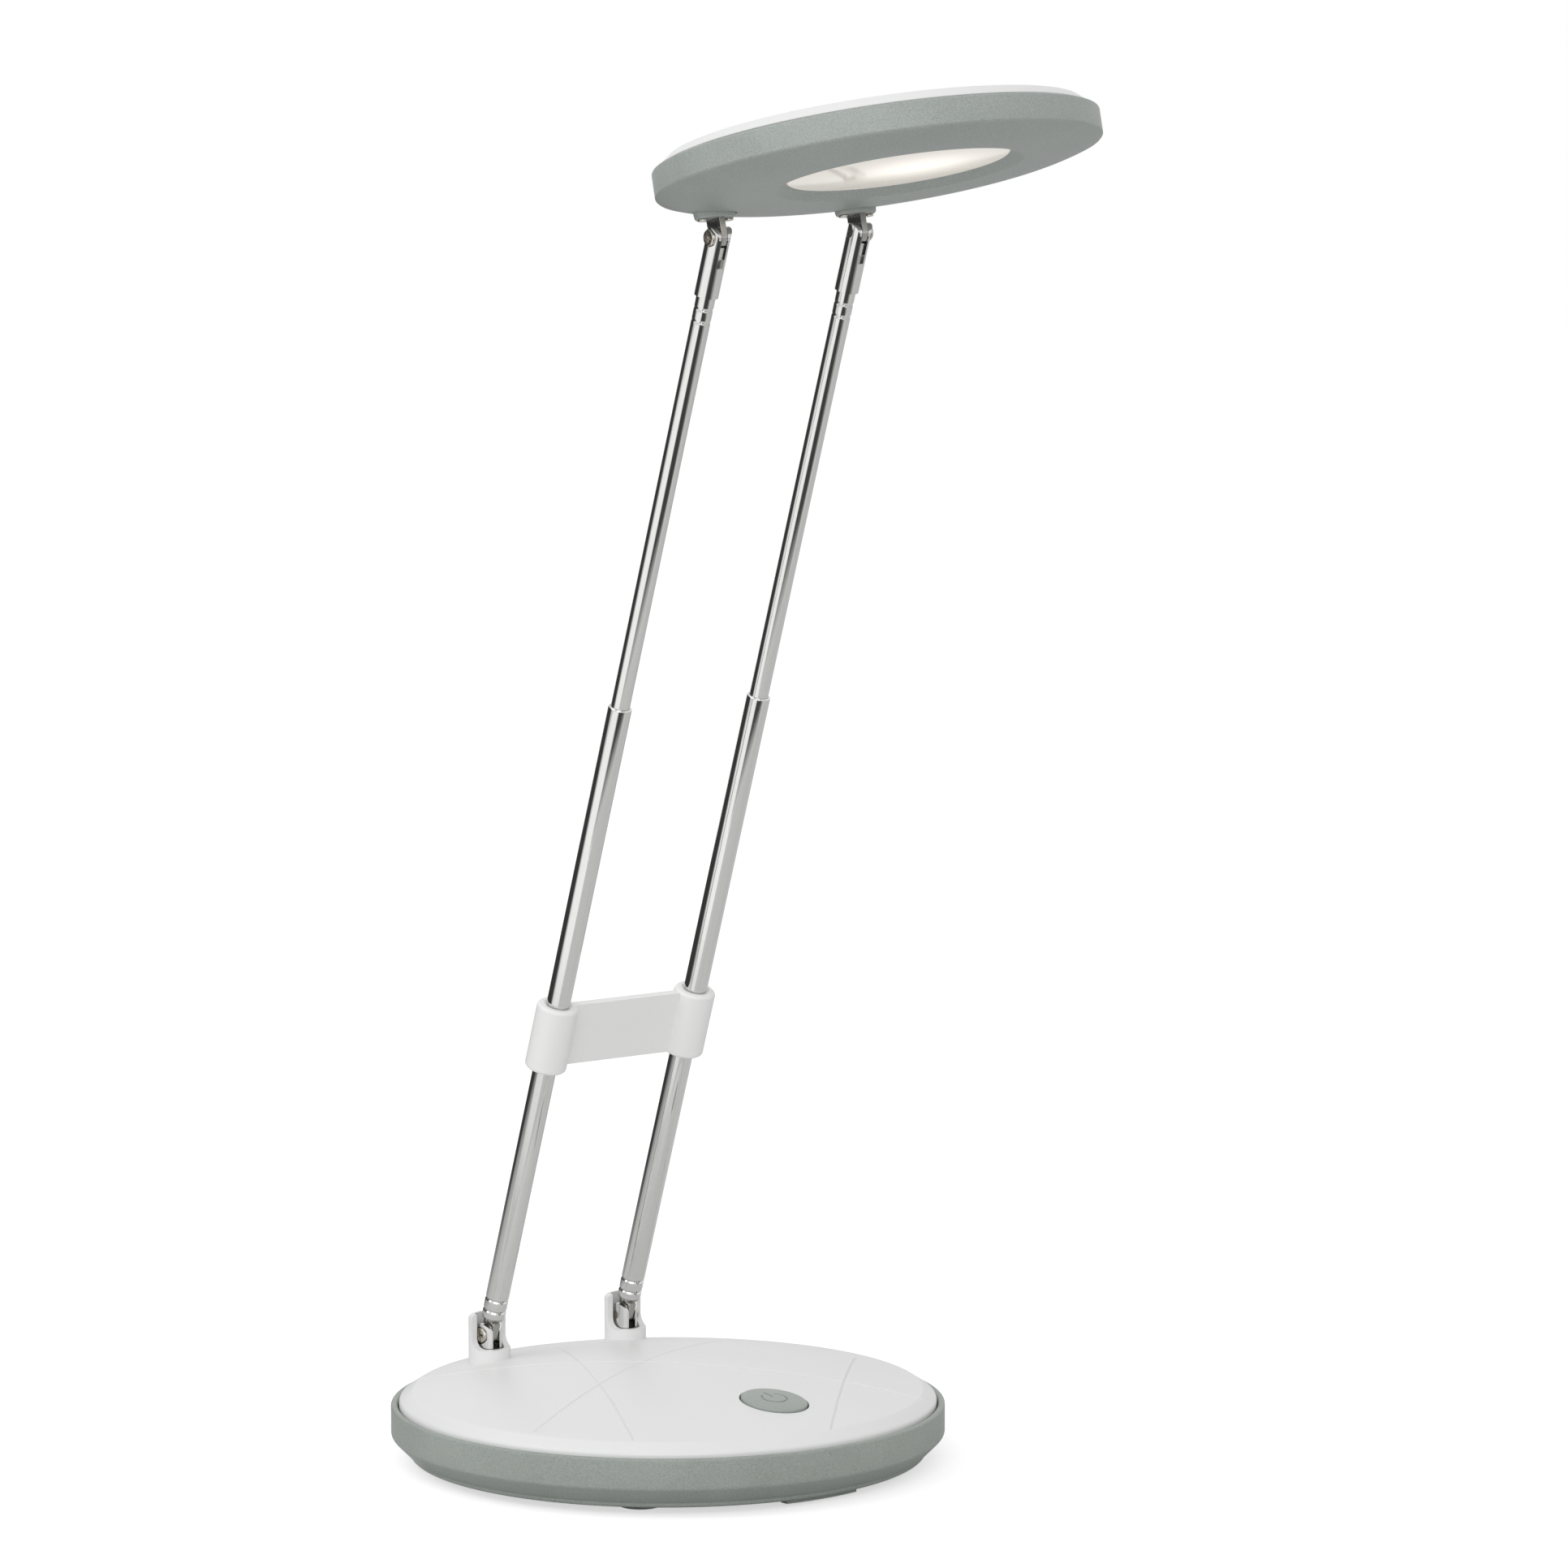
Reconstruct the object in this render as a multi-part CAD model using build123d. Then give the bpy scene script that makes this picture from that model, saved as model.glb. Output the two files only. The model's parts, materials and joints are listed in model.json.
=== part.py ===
from build123d import *
import os
from math import cos, radians, sin, sqrt

os.makedirs("parts", exist_ok=True)

# Desk lamp on two telescopic arms. Millimetres, origin on the table under the middle
# of the round base, +Z up, front of the lamp towards -Y, hinge axes along X.

# Base tray
base_radius = 70.0
rim_height = 15.1
wall_foot_height = 7.5
bottom_radius = 64.5
tray_lift = 2.0
tray_wall = 1.75
tray_floor = 2.0
rim_round = 0.6
bottom_round = 1.0
wall_foot_round = 1.8
foot_step_height = 1.6
foot_step_reach = 0.9

# Front ledge under the tray, which catches the table before the lamp tips
ledge_width = 22.0
ledge_depth = 6.0
ledge_drop = 1.2
ledge_inset = 0.6
ledge_round = 1.5

# Rubber feet, which also hide the case screws
foot_radius = 5.7
foot_inset = 11.2
foot_count = 4
foot_turn = 45.0
foot_recess = 0.6
foot_round = 0.9
foot_gap = 0.15

# Domed cover
cover_gap = 0.3
cover_wall = 2.0
cover_skirt = 3.0
dome_top = 25.0
dome_rise = 7.5
edge_run = 3.4
edge_drop = 2.2
edge_round = 1.0
groove_width = 0.5
groove_depth = 0.22

# Case screws, up through the tray into the cover
case_boss_radius = 4.0
case_boss_top = 9.0
case_screw_radius = 1.45
case_screw_length = 10.0
case_head_radius = 2.8
case_head_height = 2.0
case_head_seat = 5.5
case_head_room = 0.3
cover_boss_radius = 3.5

# Clearances shared by screws, pins and shafts
thread_gap = 0.05
running_gap = 0.05
blade_gap = 0.12

# Battery bay, three round cells side by side along X
cell_radius = 7.25
cell_length = 50.5
cell_count = 3
cell_pitch = 15.0
cell_nub_radius = 2.7
cell_nub_height = 1.2
cell_play = 0.15
contact_room = 2.4
bay_wall = 1.6
bay_roof = 1.0
bay_side_play = 0.4

# Battery door
door_gap = 0.25
door_ledge = 1.6
door_tab_width = 6.0
door_tab_thick = 1.0
door_ear_length = 12.0
door_ear_width = 13.0
door_ear_thick = 1.0
door_screw_inset = 4.6
door_screw_radius = 1.2
door_screw_length = 6.5
door_head_radius = 2.3
door_head_height = 1.0
door_boss_radius = 3.2
door_boss_height = 6.0
door_pad_radius = 7.5

# Battery contacts
contact_thick = 0.4
contact_width = 8.0
contact_height = 9.0
contact_bow = 1.8
contact_tab_width = 2.6
contact_tab_reach = 2.2
contact_slot_gap = 0.2

# Ballast plate
ballast_thick = 3.2
ballast_gap = 0.6
peg_radius = 2.0
peg_proud = 0.5
peg_gap = 0.2
peg_end_gap = 11.75
peg_side_gap = 13.75

# Power button, oval, sunk in the front slope of the dome
button_inset = 26.9
button_width = 16.9
button_length = 18.8
button_gap = 0.3
button_proud = 0.9
button_crown = 60.0
button_round = 0.4
button_travel = 1.0
button_flange = 1.3
button_flange_thick = 1.0
button_flange_gap = 0.3
button_stem_radius = 2.0
button_stem_length = 1.5
plunger_radius = 1.5
plunger_length = 3.2
switch_size = 6.2
switch_height = 3.5
switch_clear = 0.4
switch_bore_rest = 0.2

# Control board under the button
board_width = 36.0
board_depth = 18.0
board_thick = 1.6
board_post_spacing = 29.0
board_post_radius = 2.5
board_screw_radius = 0.95
board_screw_length = 5.0
board_head_radius = 1.9
board_head_height = 1.3

# Hinge posts on the cover and the clevises that stand in them
arm_spacing = 43.6
pivot_inset = 23.5
pivot_z = 27.5
post_radius = 5.4
post_bore = 3.7
post_top = 32.8
post_round = 1.2
post_lip = 24.1
post_back_edge = 0.4
scoop_round = 3.0
clevis_radius = 3.1
clevis_seat = 18.6
clevis_boss_drop = 1.6
clevis_slot_floor = 3.4
stud_radius = 2.0
stud_length = 6.2
nut_flats = 7.0
nut_height = 3.2
tag_radius = 3.6
tag_thick = 0.6
tag_tail = 8.5
tag_width = 3.0

# Hinge screws
hinge_screw_radius = 1.0
hinge_head_radius = 2.1
hinge_head_height = 0.9
hinge_seat_room = 0.15
cheek_outer = 2.3
recess_width = 0.6
recess_length = 2.4
recess_depth = 0.5

# Telescopic arms, measured along the arm from the base pivot
arm_lean = 18.64
lower_tube_radius = 3.0
lower_tube_wall = 0.5
lower_tube_start = 5.2
lower_tube_mouth = 175.4
mouth_roll = 1.0
mouth_round = 0.4
crimp_first = 7.4
crimp_pitch = 3.1
crimp_depth = 0.25
crimp_half_width = 0.5
plug_depth = 11.0
blade_thick = 1.8
blade_end_radius = 2.4
neck_start = 3.95
neck_radius = 2.0
upper_tube_radius = 2.4
upper_tube_wall = 0.4
upper_tube_overlap = 35.0
sleeve_length = 12.0
sleeve_wall = 0.35

# Knuckle at the top of each arm
head_pivot = 298.7
knuckle_radius = 3.0
knuckle_length = 14.9
knuckle_bore_depth = 7.0
knuckle_slot_floor = 7.0

# Bridge clip that ties the two arms
clip_start = 76.1
clip_height = 17.6
clip_radius = 5.3
clip_mouth_gap = 0.55
clip_mouth_depth = 3.0
clip_round = 0.9
clip_plate_height = 16.6
clip_plate_thick = 2.0
clip_plate_back = 0.4

# Lamp head, measured from the head pivot along the head's own axes
head_tilt = 13.4
head_hinge_inset = 16.6
head_radius = 54.0
head_underside = 5.4
head_rim_top = 15.0
head_wall = 1.8
head_floor = 2.0
head_flat_radius = 37.0
head_belly_radius = 46.7
head_corner_round = 0.8
head_rim_round = 0.6
head_ledge = 2.0
head_ledge_thick = 1.2

# Head cover
lid_gap = 0.3
lid_inset = 1.4
lid_wall = 1.6
lid_skirt = 2.6
lid_edge_run = 2.8
lid_edge_rise = 2.4
lid_dome_rise = 3.0
lid_edge_round = 0.8

# Lens
lens_offset = 7.1
lens_radius = 26.9
lens_recess = 3.1
lens_depth = 1.7
lens_rim = 2.2
lens_thick = 2.2
lens_gap = 0.2

# Light board
led_board_radius = 35.0
led_board_thick = 1.6
led_board_lift = 3.2
led_post_distance = 32.0
led_post_radius = 2.2
led_post_count = 3
led_screw_radius = 0.95
led_screw_length = 3.0
led_head_radius = 1.9
led_head_height = 1.2
led_size = 3.0
led_height = 0.8
led_inner_count = 5
led_inner_distance = 7.5
led_outer_count = 10
led_outer_distance = 15.0

# Head hinges
tongue_thick = 1.7
tongue_depth = 5.2
tongue_end_radius = 2.6
tongue_foot_width = 4.6
tongue_foot_thick = 1.2
flange_width = 11.4
flange_depth = 9.0
flange_drop = 1.6
flange_thick = 3.1
flange_gap = 0.15
flange_edge = 0.4
flange_screw_spacing = 7.8
flange_screw_radius = 0.75
flange_screw_length = 5.2
flange_head_radius = 1.2
flange_head_height = 0.5
hinge_boss_cover = 1.4

# Insulated wires inside the base and the head
wire_radius = 0.6
wire_gap = 0.2
wire_rise = 4.0
wire_height = 11.2
wire_lane_gap = 7.75
wire_front_gap = 6.6
battery_lane_gap = 3.75
battery_front_gap = 1.25
head_wire_height = 14.0
head_wire_arch = 2.8
head_pad_x = 12.0
head_pad_y = 24.0

on_end = (Align.CENTER, Align.CENTER, Align.MIN)
sides = (("left", -1), ("right", 1))


def section(points, rounds=()):
    """A closed outline of straight runs, with the named corners rounded."""
    face = make_face(Polyline(*points, close=True))
    for corner, radius in rounds:
        face = fillet(face.vertices().sort_by_distance(corner)[0], radius)
    return face


def turned(points, rounds=()):
    """A solid of revolution about Z from (radius, height) points."""
    return revolve(Plane.XZ * section(points, rounds), Axis.Z)


def rod(radius, bottom, top):
    return Pos(0, 0, bottom) * Cylinder(radius, top - bottom, align=on_end)


def cross_rod(radius, first, last):
    """A rod along X."""
    return Rot(0, 90, 0) * rod(radius, first, last)


def block(width, depth, bottom, top):
    return Pos(0, 0, bottom) * Box(width, depth, top - bottom, align=on_end)


def copies(places, shape, frame=Pos(0, 0, 0)):
    return [frame * place * shape for place in places]


def pan_screw(radius, length, head_radius, head_height, crossed=False):
    """A screw with its head's seat at z = 0, its shank down and its head up."""
    crown = (head_radius, head_height)
    soft = [(crown, head_height * 0.6)] if crossed else []
    head = turned([(0, 0), (head_radius, 0), crown, (0, head_height)], soft)
    screw = head + rod(radius, -length, 0)
    if crossed:
        for turn in (0, 90):
            slot = block(recess_width, recess_length, head_height - recess_depth, head_height)
            screw -= Rot(0, 0, turn) * slot
    return screw


def wire(points):
    """An insulated wire along straight runs."""
    path = Polyline(*points)
    profile = Plane(origin=path @ 0, z_dir=path % 0) * Circle(wire_radius)
    return sweep(profile, path=path, transition=Transition.RIGHT)


def save(node, solids):
    shape = solids[0] if len(solids) == 1 else Compound(children=list(solids))
    export_step(shape, f"parts/{node}.step")


# Places that follow the size of the base and of the head
pivot_y = base_radius - pivot_inset
button_y = button_inset - base_radius
foot_circle = bottom_radius - foot_inset
foot_side = foot_circle * sin(radians(foot_turn))
head_offset = head_radius - head_hinge_inset

# Frames that the moving pieces are built in
arm_turn = radians(arm_lean)
arm_way = Vector(0, -sin(arm_turn), cos(arm_turn))
head_turn = radians(head_tilt)
base_pivot = Vector(0, pivot_y, pivot_z)
head_point = base_pivot + arm_way * head_pivot
arm_x = arm_spacing / 2
arm_frame = Plane(origin=base_pivot, x_dir=(1, 0, 0), z_dir=arm_way).location
knuckle_frame = Plane(origin=head_point, x_dir=(1, 0, 0), z_dir=arm_way).location
head_frame = Plane(
    origin=head_point, x_dir=(1, 0, 0), z_dir=(0, sin(head_turn), cos(head_turn))
).location

# Heights in the base
floor_top = tray_lift + tray_floor
cover_radius = base_radius - tray_wall - cover_gap
dome_radius = (cover_radius**2 + dome_rise**2) / (2 * dome_rise)
dome_centre = dome_top - dome_radius


def dome_height(radius):
    return dome_centre + sqrt(dome_radius**2 - radius**2)


# Battery bay box and door opening
bay_length = cell_length + 2 * contact_room
bay_width = (cell_count - 1) * cell_pitch + 2 * cell_radius + 2 * bay_side_play
bay_top = floor_top + 2 * cell_radius + 2 * cell_play
bay_end = bay_length / 2
bay_outer_end = bay_end + bay_wall
bay_outer_side = bay_width / 2 + bay_wall
door_end = bay_end - door_ledge
door_screw_x = bay_outer_end + door_screw_inset
ear_end = door_end + door_ear_length
cell_height = floor_top + cell_play + cell_radius
cell_rows = [(row - (cell_count - 1) / 2) * cell_pitch for row in range(cell_count)]

# Places that repeat round the base
foot_places = list(PolarLocations(foot_circle, foot_count, start_angle=foot_turn))
peg_side = bay_outer_side + peg_side_gap
peg_places = [Pos(-bay_outer_end - peg_end_gap, 0), Pos(0, peg_side), Pos(0, -peg_side)]
ballast_radius = foot_circle - case_boss_radius - ballast_gap


def base_tray():
    run = base_radius - bottom_radius
    rise = wall_foot_height - tray_lift
    inward = tray_wall * sqrt(run**2 + rise**2) / rise
    inner_radius = base_radius - tray_wall
    floor_radius = bottom_radius + run * tray_floor / rise - inward
    inner_foot = tray_lift + rise * (inner_radius + inward - bottom_radius) / run
    rim = (base_radius, rim_height)
    shoulder = (base_radius, wall_foot_height)
    # Upright step round the bottom, below the sloping part of the wall
    tier_radius = bottom_radius + foot_step_reach
    step_top = tray_lift + foot_step_height
    heel = (tier_radius, tray_lift)
    outline = [
        (0, tray_lift),
        heel,
        (tier_radius, step_top),
        (bottom_radius + run * foot_step_height / rise, step_top),
        shoulder,
        rim,
        (inner_radius, rim_height),
        (inner_radius, inner_foot),
        (floor_radius, floor_top),
        (0, floor_top),
    ]
    tray = turned(outline, [(rim, rim_round), (shoulder, wall_foot_round), (heel, bottom_round)])
    # Front ledge, with the round of the tray's bottom edge
    pad = RectangleRounded(ledge_width, 2 * ledge_depth, ledge_round)
    pad = Pos(0, -bottom_radius) * pad & Circle(bottom_radius - bottom_round - ledge_inset)
    tray += Pos(0, 0, tray_lift - ledge_drop) * extrude(pad, ledge_drop + tray_floor / 2)
    # Bosses, pegs and the battery box stand on the floor
    tray += copies(foot_places, rod(case_boss_radius, floor_top, case_boss_top))
    tray += copies(peg_places, rod(peg_radius, floor_top, floor_top + ballast_thick + peg_proud))
    tray += Pos(door_screw_x, 0) * rod(door_boss_radius, floor_top, floor_top + door_boss_height)
    tray += block(2 * bay_outer_end, bay_width + 2 * bay_wall, floor_top, bay_top + bay_roof)
    tray -= block(bay_length, bay_width, floor_top, bay_top)
    tray -= block(2 * door_end, bay_width, tray_lift, floor_top)
    # Recess for the door's ear and the hole for its screw
    ear = Pos(door_end + door_ear_length / 2, 0) * Box(
        door_ear_length + 2 * door_gap, door_ear_width + 2 * door_gap, door_ear_thick, align=on_end
    )
    tray -= Pos(0, 0, tray_lift) * ear
    screw_top = tray_lift + door_ear_thick + door_screw_length
    tray -= Pos(door_screw_x, 0) * rod(door_screw_radius + thread_gap, tray_lift, screw_top)
    # Slots for the contact tabs in the end walls of the battery box
    for way, row in ((1, cell_rows[-1]), (-1, cell_rows[0])):
        slot = Box(
            2 * bay_wall, contact_tab_width + 2 * contact_slot_gap, contact_thick + 2 * contact_slot_gap
        )
        tray -= Pos(way * (bay_end + bay_wall / 2), row, cell_height) * slot
    # Holes for the case screws and seats for the feet
    tray -= copies(foot_places, rod(case_screw_radius + thread_gap, tray_lift, case_boss_top))
    tray -= copies(foot_places, rod(case_head_radius + case_head_room, tray_lift, case_head_seat))
    tray -= copies(foot_places, rod(foot_radius + foot_gap, tray_lift, tray_lift + foot_recess))
    return tray


def rubber_foot():
    top = tray_lift + foot_recess
    toe = (foot_radius, 0)
    return turned([(0, 0), toe, (foot_radius, top), (0, top)], [(toe, foot_round)])


# Frame of the button: on the dome, with Z along the dome's normal
button_lean = button_y / dome_radius
button_rise = sqrt(1 - button_lean**2)
button_plane = Plane(
    origin=(0, button_y, dome_height(button_y)), x_dir=(1, 0, 0), z_dir=(0, button_lean, button_rise)
)
button_frame = button_plane.location
flange_reach = button_length / 2 + button_flange
flange_top = -cover_wall - flange_reach**2 / (2 * dome_radius) - button_flange_gap
flange_bottom = flange_top - button_flange_thick
stem_bottom = flange_bottom - button_stem_length
switch_top = stem_bottom - button_travel - switch_clear
board_top = switch_top - switch_height
board_bottom = board_top - board_thick
board_posts = [Pos(-board_post_spacing / 2, 0), Pos(board_post_spacing / 2, 0)]


def rim_point(angle, inset):
    """A plan point at an angle round the base, set in from the cover's edge."""
    reach = cover_radius - inset
    return Vector(reach * cos(radians(angle)), reach * sin(radians(angle)))


def groove(first, last):
    """A shallow straight groove across the dome between two plan points."""
    lowered = dome_radius - groove_depth
    start, end = rim_point(*first), rim_point(*last)
    floor = []
    for spot in (start, (start + end) * 0.5, end):
        floor.append((spot.X, spot.Y, dome_centre + sqrt(lowered**2 - spot.X**2 - spot.Y**2)))
    above = 2 * dome_top
    outline = [
        ThreePointArc(*floor),
        Polyline(floor[2], (end.X, end.Y, above), (start.X, start.Y, above), floor[0]),
    ]
    return extrude(make_face(Curve() + outline), groove_width / 2, both=True)


# Ends of the groove lines on the cover, each an angle round the base and an inset
groove_lines = (
    ((131.9, 2.1), (-54.8, 2.4)),
    ((90.0, 19.4), (-135.3, 4.7)),
    ((33.7, 24.7), (-159.0, 5.3)),
    ((-10.3, 14.1), (-85.2, 7.7)),
)


def hinge_post(side):
    """A scooped post: a tall round back wall, a low front lip and a well for the clevis."""
    crown = (post_radius, post_top)
    bottom = clevis_seat - clevis_boss_drop
    outline = [(0, bottom), (post_radius, bottom), crown, (0, post_top)]
    post = turned(outline, [(crown, post_round)])
    corner = (post_back_edge, post_lip)
    reach = -2 * post_radius
    above = 2 * post_top
    scoop = section(
        [corner, (reach, post_lip), (reach, above), (post_back_edge, above)], [(corner, scoop_round)]
    )
    post -= extrude(Plane.YZ * scoop, 2 * post_radius, both=True)
    return Pos(side * arm_x, pivot_y) * post


def base_cover():
    edge_radius = cover_radius - edge_run
    edge_height = dome_height(edge_radius)
    side_height = edge_height - edge_drop
    skirt = rim_height - cover_skirt
    inner_radius = cover_radius - cover_wall
    inner_edge = edge_radius - cover_wall
    inner_height = dome_centre + sqrt((dome_radius - cover_wall) ** 2 - inner_edge**2)
    half = edge_radius / 2
    inner_top = dome_top - cover_wall
    inner_half = inner_edge / 2
    inner_half_height = dome_centre + sqrt((dome_radius - cover_wall) ** 2 - inner_half**2)
    outline = [
        ThreePointArc((0, dome_top), (half, dome_height(half)), (edge_radius, edge_height)),
        Polyline(
            (edge_radius, edge_height),
            (cover_radius, side_height),
            (cover_radius, skirt),
            (inner_radius, skirt),
            (inner_radius, side_height - cover_wall / 2),
            (inner_edge, inner_height),
        ),
        ThreePointArc((inner_edge, inner_height), (inner_half, inner_half_height), (0, inner_top)),
        Line((0, inner_top), (0, dome_top)),
    ]
    face = make_face(Curve() + outline)
    for corner in ((edge_radius, edge_height), (cover_radius, side_height)):
        face = fillet(face.vertices().sort_by_distance(corner)[0], edge_round)
    cover = revolve(Plane.XZ * face, Axis.Z)
    for first, last in groove_lines:
        cover -= groove(first, last)
    # Bosses for the case screws and for the control board
    boss_top = dome_height(foot_circle + cover_boss_radius) - cover_wall / 4
    cover += copies(foot_places, rod(cover_boss_radius, case_boss_top, boss_top))
    cover += copies(board_posts, rod(board_post_radius, board_top, -cover_wall / 2), button_frame)
    for name, side in sides:
        cover += hinge_post(side)
        well = Pos(side * arm_x, pivot_y) * rod(post_bore, clevis_seat, 2 * post_top)
        stud_hole = Pos(side * arm_x, pivot_y) * rod(stud_radius + thread_gap, 0, clevis_seat)
        cover -= well
        cover -= stud_hole
    screw_top = case_head_seat + case_screw_length + thread_gap
    cover -= copies(foot_places, rod(case_screw_radius + thread_gap, case_boss_top, screw_top))
    hole_top = board_bottom + board_screw_length + thread_gap
    cover -= copies(board_posts, rod(board_screw_radius + thread_gap, board_top, hole_top), button_frame)
    opening = Ellipse(button_width / 2 + button_gap, button_length / 2 + button_gap)
    cover -= button_frame * extrude(opening, 2 * cover_wall, both=True)
    return cover


def power_button():
    half = button_width / 2
    fall = half**2 / (2 * button_crown)
    rim = (half, button_proud - fall)
    outline = [
        ThreePointArc((0, button_proud), (half / 2, button_proud - fall / 4), rim),
        Polyline(rim, (half, flange_bottom), (0, flange_bottom), (0, button_proud)),
    ]
    face = make_face(Curve() + outline)
    face = fillet(face.vertices().sort_by_distance(rim)[0], button_round)
    round_cap = revolve(Plane.XZ * face, Axis.Z)
    cap = scale(round_cap, by=(1, button_length / button_width, 1))
    wide = Ellipse(button_width / 2 + button_flange, button_length / 2 + button_flange)
    cap += Pos(0, 0, flange_bottom) * extrude(wide, button_flange_thick)
    cap += rod(button_stem_radius, stem_bottom, flange_bottom)
    return button_frame * cap


def switch_plunger():
    return button_frame * rod(plunger_radius, stem_bottom - plunger_length, stem_bottom)


def push_switch():
    body = block(switch_size, switch_size, board_top, switch_top)
    bore_bottom = stem_bottom - plunger_length - button_travel - switch_bore_rest
    return button_frame * (body - rod(plunger_radius + running_gap, bore_bottom, switch_top))


def control_board():
    board = block(board_width, board_depth, board_bottom, board_top)
    board -= copies(board_posts, rod(board_screw_radius + thread_gap, board_bottom, board_top))
    return button_frame * board


def board_screws():
    screw = Rot(180, 0, 0) * pan_screw(
        board_screw_radius, board_screw_length, board_head_radius, board_head_height
    )
    return [button_frame * place * Pos(0, 0, board_bottom) * screw for place in board_posts]


def ballast_plate():
    plate = rod(ballast_radius, floor_top, floor_top + ballast_thick)
    above = floor_top + ballast_thick
    hole = 2 * ballast_gap
    plate -= block(2 * bay_outer_end + hole, bay_width + 2 * bay_wall + hole, floor_top, above)
    plate -= Pos(door_screw_x, 0) * rod(door_boss_radius + ballast_gap, floor_top, above)
    plate -= copies(peg_places, rod(peg_radius + peg_gap, floor_top, above))
    return plate


def battery_cells():
    outline = [
        (0, 0),
        (cell_radius, 0),
        (cell_radius, cell_length - cell_nub_height),
        (cell_nub_radius, cell_length - cell_nub_height),
        (cell_nub_radius, cell_length),
        (0, cell_length),
    ]
    cell = Pos(0, 0, -cell_length / 2) * turned(outline)
    cells = []
    for index, row in enumerate(cell_rows):
        way = 90 if index % 2 == 0 else -90
        cells.append(Pos(0, row, cell_height) * Rot(0, way, 0) * cell)
    return cells


def contact_leaf(row):
    """A bowed leaf that presses on the end of one cell, seen from the +X end wall."""
    half = contact_height / 2
    bow = bay_end - contact_thick - contact_bow
    wall = bay_end - contact_thick
    face = make_face(
        Curve()
        + [
            ThreePointArc((wall, -half), (bow, 0), (wall, half)),
            Polyline((wall, half), (bay_end, half), (bay_end, -half), (wall, -half)),
        ]
    )
    leaf = extrude(Plane.XZ * face, contact_width / 2, both=True)
    return Pos(0, row, cell_height) * leaf


def battery_contacts():
    """At each end one single contact with a solder tab and one bridge over two cells."""
    contacts = []
    for turn, single, pair in ((0, cell_rows[-1], cell_rows[:-1]), (180, cell_rows[-1], cell_rows[:-1])):
        tab_reach = bay_wall + contact_tab_reach
        tab = Box(tab_reach, contact_tab_width, contact_thick)
        lone = contact_leaf(single) + Pos(bay_end + tab_reach / 2, single, cell_height) * tab
        link = Box(contact_thick, pair[-1] - pair[0], contact_width)
        link_x = bay_end - contact_thick / 2
        bridge = Pos(link_x, (pair[0] + pair[-1]) / 2, cell_height) * link
        for row in pair:
            bridge += contact_leaf(row)
        contacts.append(Rot(0, 0, turn) * lone)
        contacts.append(Rot(0, 0, turn) * bridge)
    return contacts


def battery_door():
    door = block(2 * door_end - 2 * door_gap, bay_width - 2 * door_gap, tray_lift, floor_top)
    ear_start = door_end - 2 * door_gap
    ear = Box(
        ear_end - ear_start, door_ear_width, door_ear_thick, align=(Align.MIN, Align.CENTER, Align.MIN)
    )
    door += Pos(ear_start, 0, tray_lift) * ear
    door -= Pos(door_screw_x, 0) * rod(door_screw_radius + thread_gap, tray_lift, floor_top)
    # Two tabs hook over the far end of the opening
    for way in (-1, 1):
        tab_start = -bay_end + door_gap
        tab_end = -door_end + door_ledge
        tab = block(tab_end - tab_start, door_tab_width, floor_top, floor_top + door_tab_thick)
        door += Pos((tab_start + tab_end) / 2, way * cell_pitch / 2) * tab
    return door


def door_pad():
    """Rubber pad bonded to the door, as low as the feet, that bears on the table under the middle."""
    toe = (door_pad_radius, 0)
    outline = [(0, 0), toe, (door_pad_radius, tray_lift), (0, tray_lift)]
    return turned(outline, [(toe, foot_round)])


def door_screw():
    screw = pan_screw(door_screw_radius, door_screw_length, door_head_radius, door_head_height)
    return Pos(door_screw_x, 0, tray_lift) * Rot(180, 0, 0) * screw


def case_screws():
    screw = pan_screw(case_screw_radius, case_screw_length, case_head_radius, case_head_height)
    return copies(foot_places, Pos(0, 0, case_head_seat) * Rot(180, 0, 0) * screw)


def cheeks(radius, foot, slot_width, slot_floor):
    """Two cheeks of a forked round bar about a pivot at the origin, with rounded tops."""
    bar = rod(radius, foot, radius)
    bar &= block(2 * radius, 2 * radius, foot, 0) + cross_rod(radius, -radius, radius)
    bar -= block(slot_width, 2 * radius, -slot_floor, radius)
    return bar


def hinge_holes(side, radius):
    """Screw hole through both cheeks and a flat seat for the head on the outer side."""
    hole = cross_rod(hinge_screw_radius + thread_gap, -radius, radius)
    seat_radius = hinge_head_radius + hinge_seat_room
    seat = cross_rod(seat_radius, cheek_outer, 2 * radius)
    return hole + (seat if side > 0 else Rot(0, 0, 180) * seat)


def hinge_screw(side, radius):
    length = cheek_outer + sqrt(radius**2 - hinge_screw_radius**2)
    screw = pan_screw(hinge_screw_radius, length, hinge_head_radius, hinge_head_height, crossed=True)
    return Rot(0, side * 90, 0) * Pos(0, 0, cheek_outer) * screw


def base_clevis(side):
    foot = clevis_seat - pivot_z
    clevis = cheeks(clevis_radius, foot, blade_thick + 2 * blade_gap, clevis_slot_floor)
    clevis -= hinge_holes(side, clevis_radius)
    clevis += rod(stud_radius, foot - stud_length, foot)
    return Pos(side * arm_x, pivot_y, pivot_z) * clevis


def stud_nut(side):
    top = clevis_seat - clevis_boss_drop - tag_thick
    nut = extrude(RegularPolygon(nut_flats / 2, 6, major_radius=False), nut_height)
    nut -= rod(stud_radius + thread_gap, 0, nut_height)
    return Pos(side * arm_x, pivot_y, top - nut_height) * nut


def solder_tag(side):
    ring = Circle(tag_radius)
    tail = Pos(0, -tag_tail / 2) * Rectangle(tag_width, tag_tail)
    tag = extrude(ring + tail - Circle(stud_radius + thread_gap), tag_thick)
    return Pos(side * arm_x, pivot_y, clevis_seat - clevis_boss_drop - tag_thick) * tag


def base_hinge_screw(side):
    return Pos(side * arm_x, pivot_y, pivot_z) * hinge_screw(side, clevis_radius)


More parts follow.
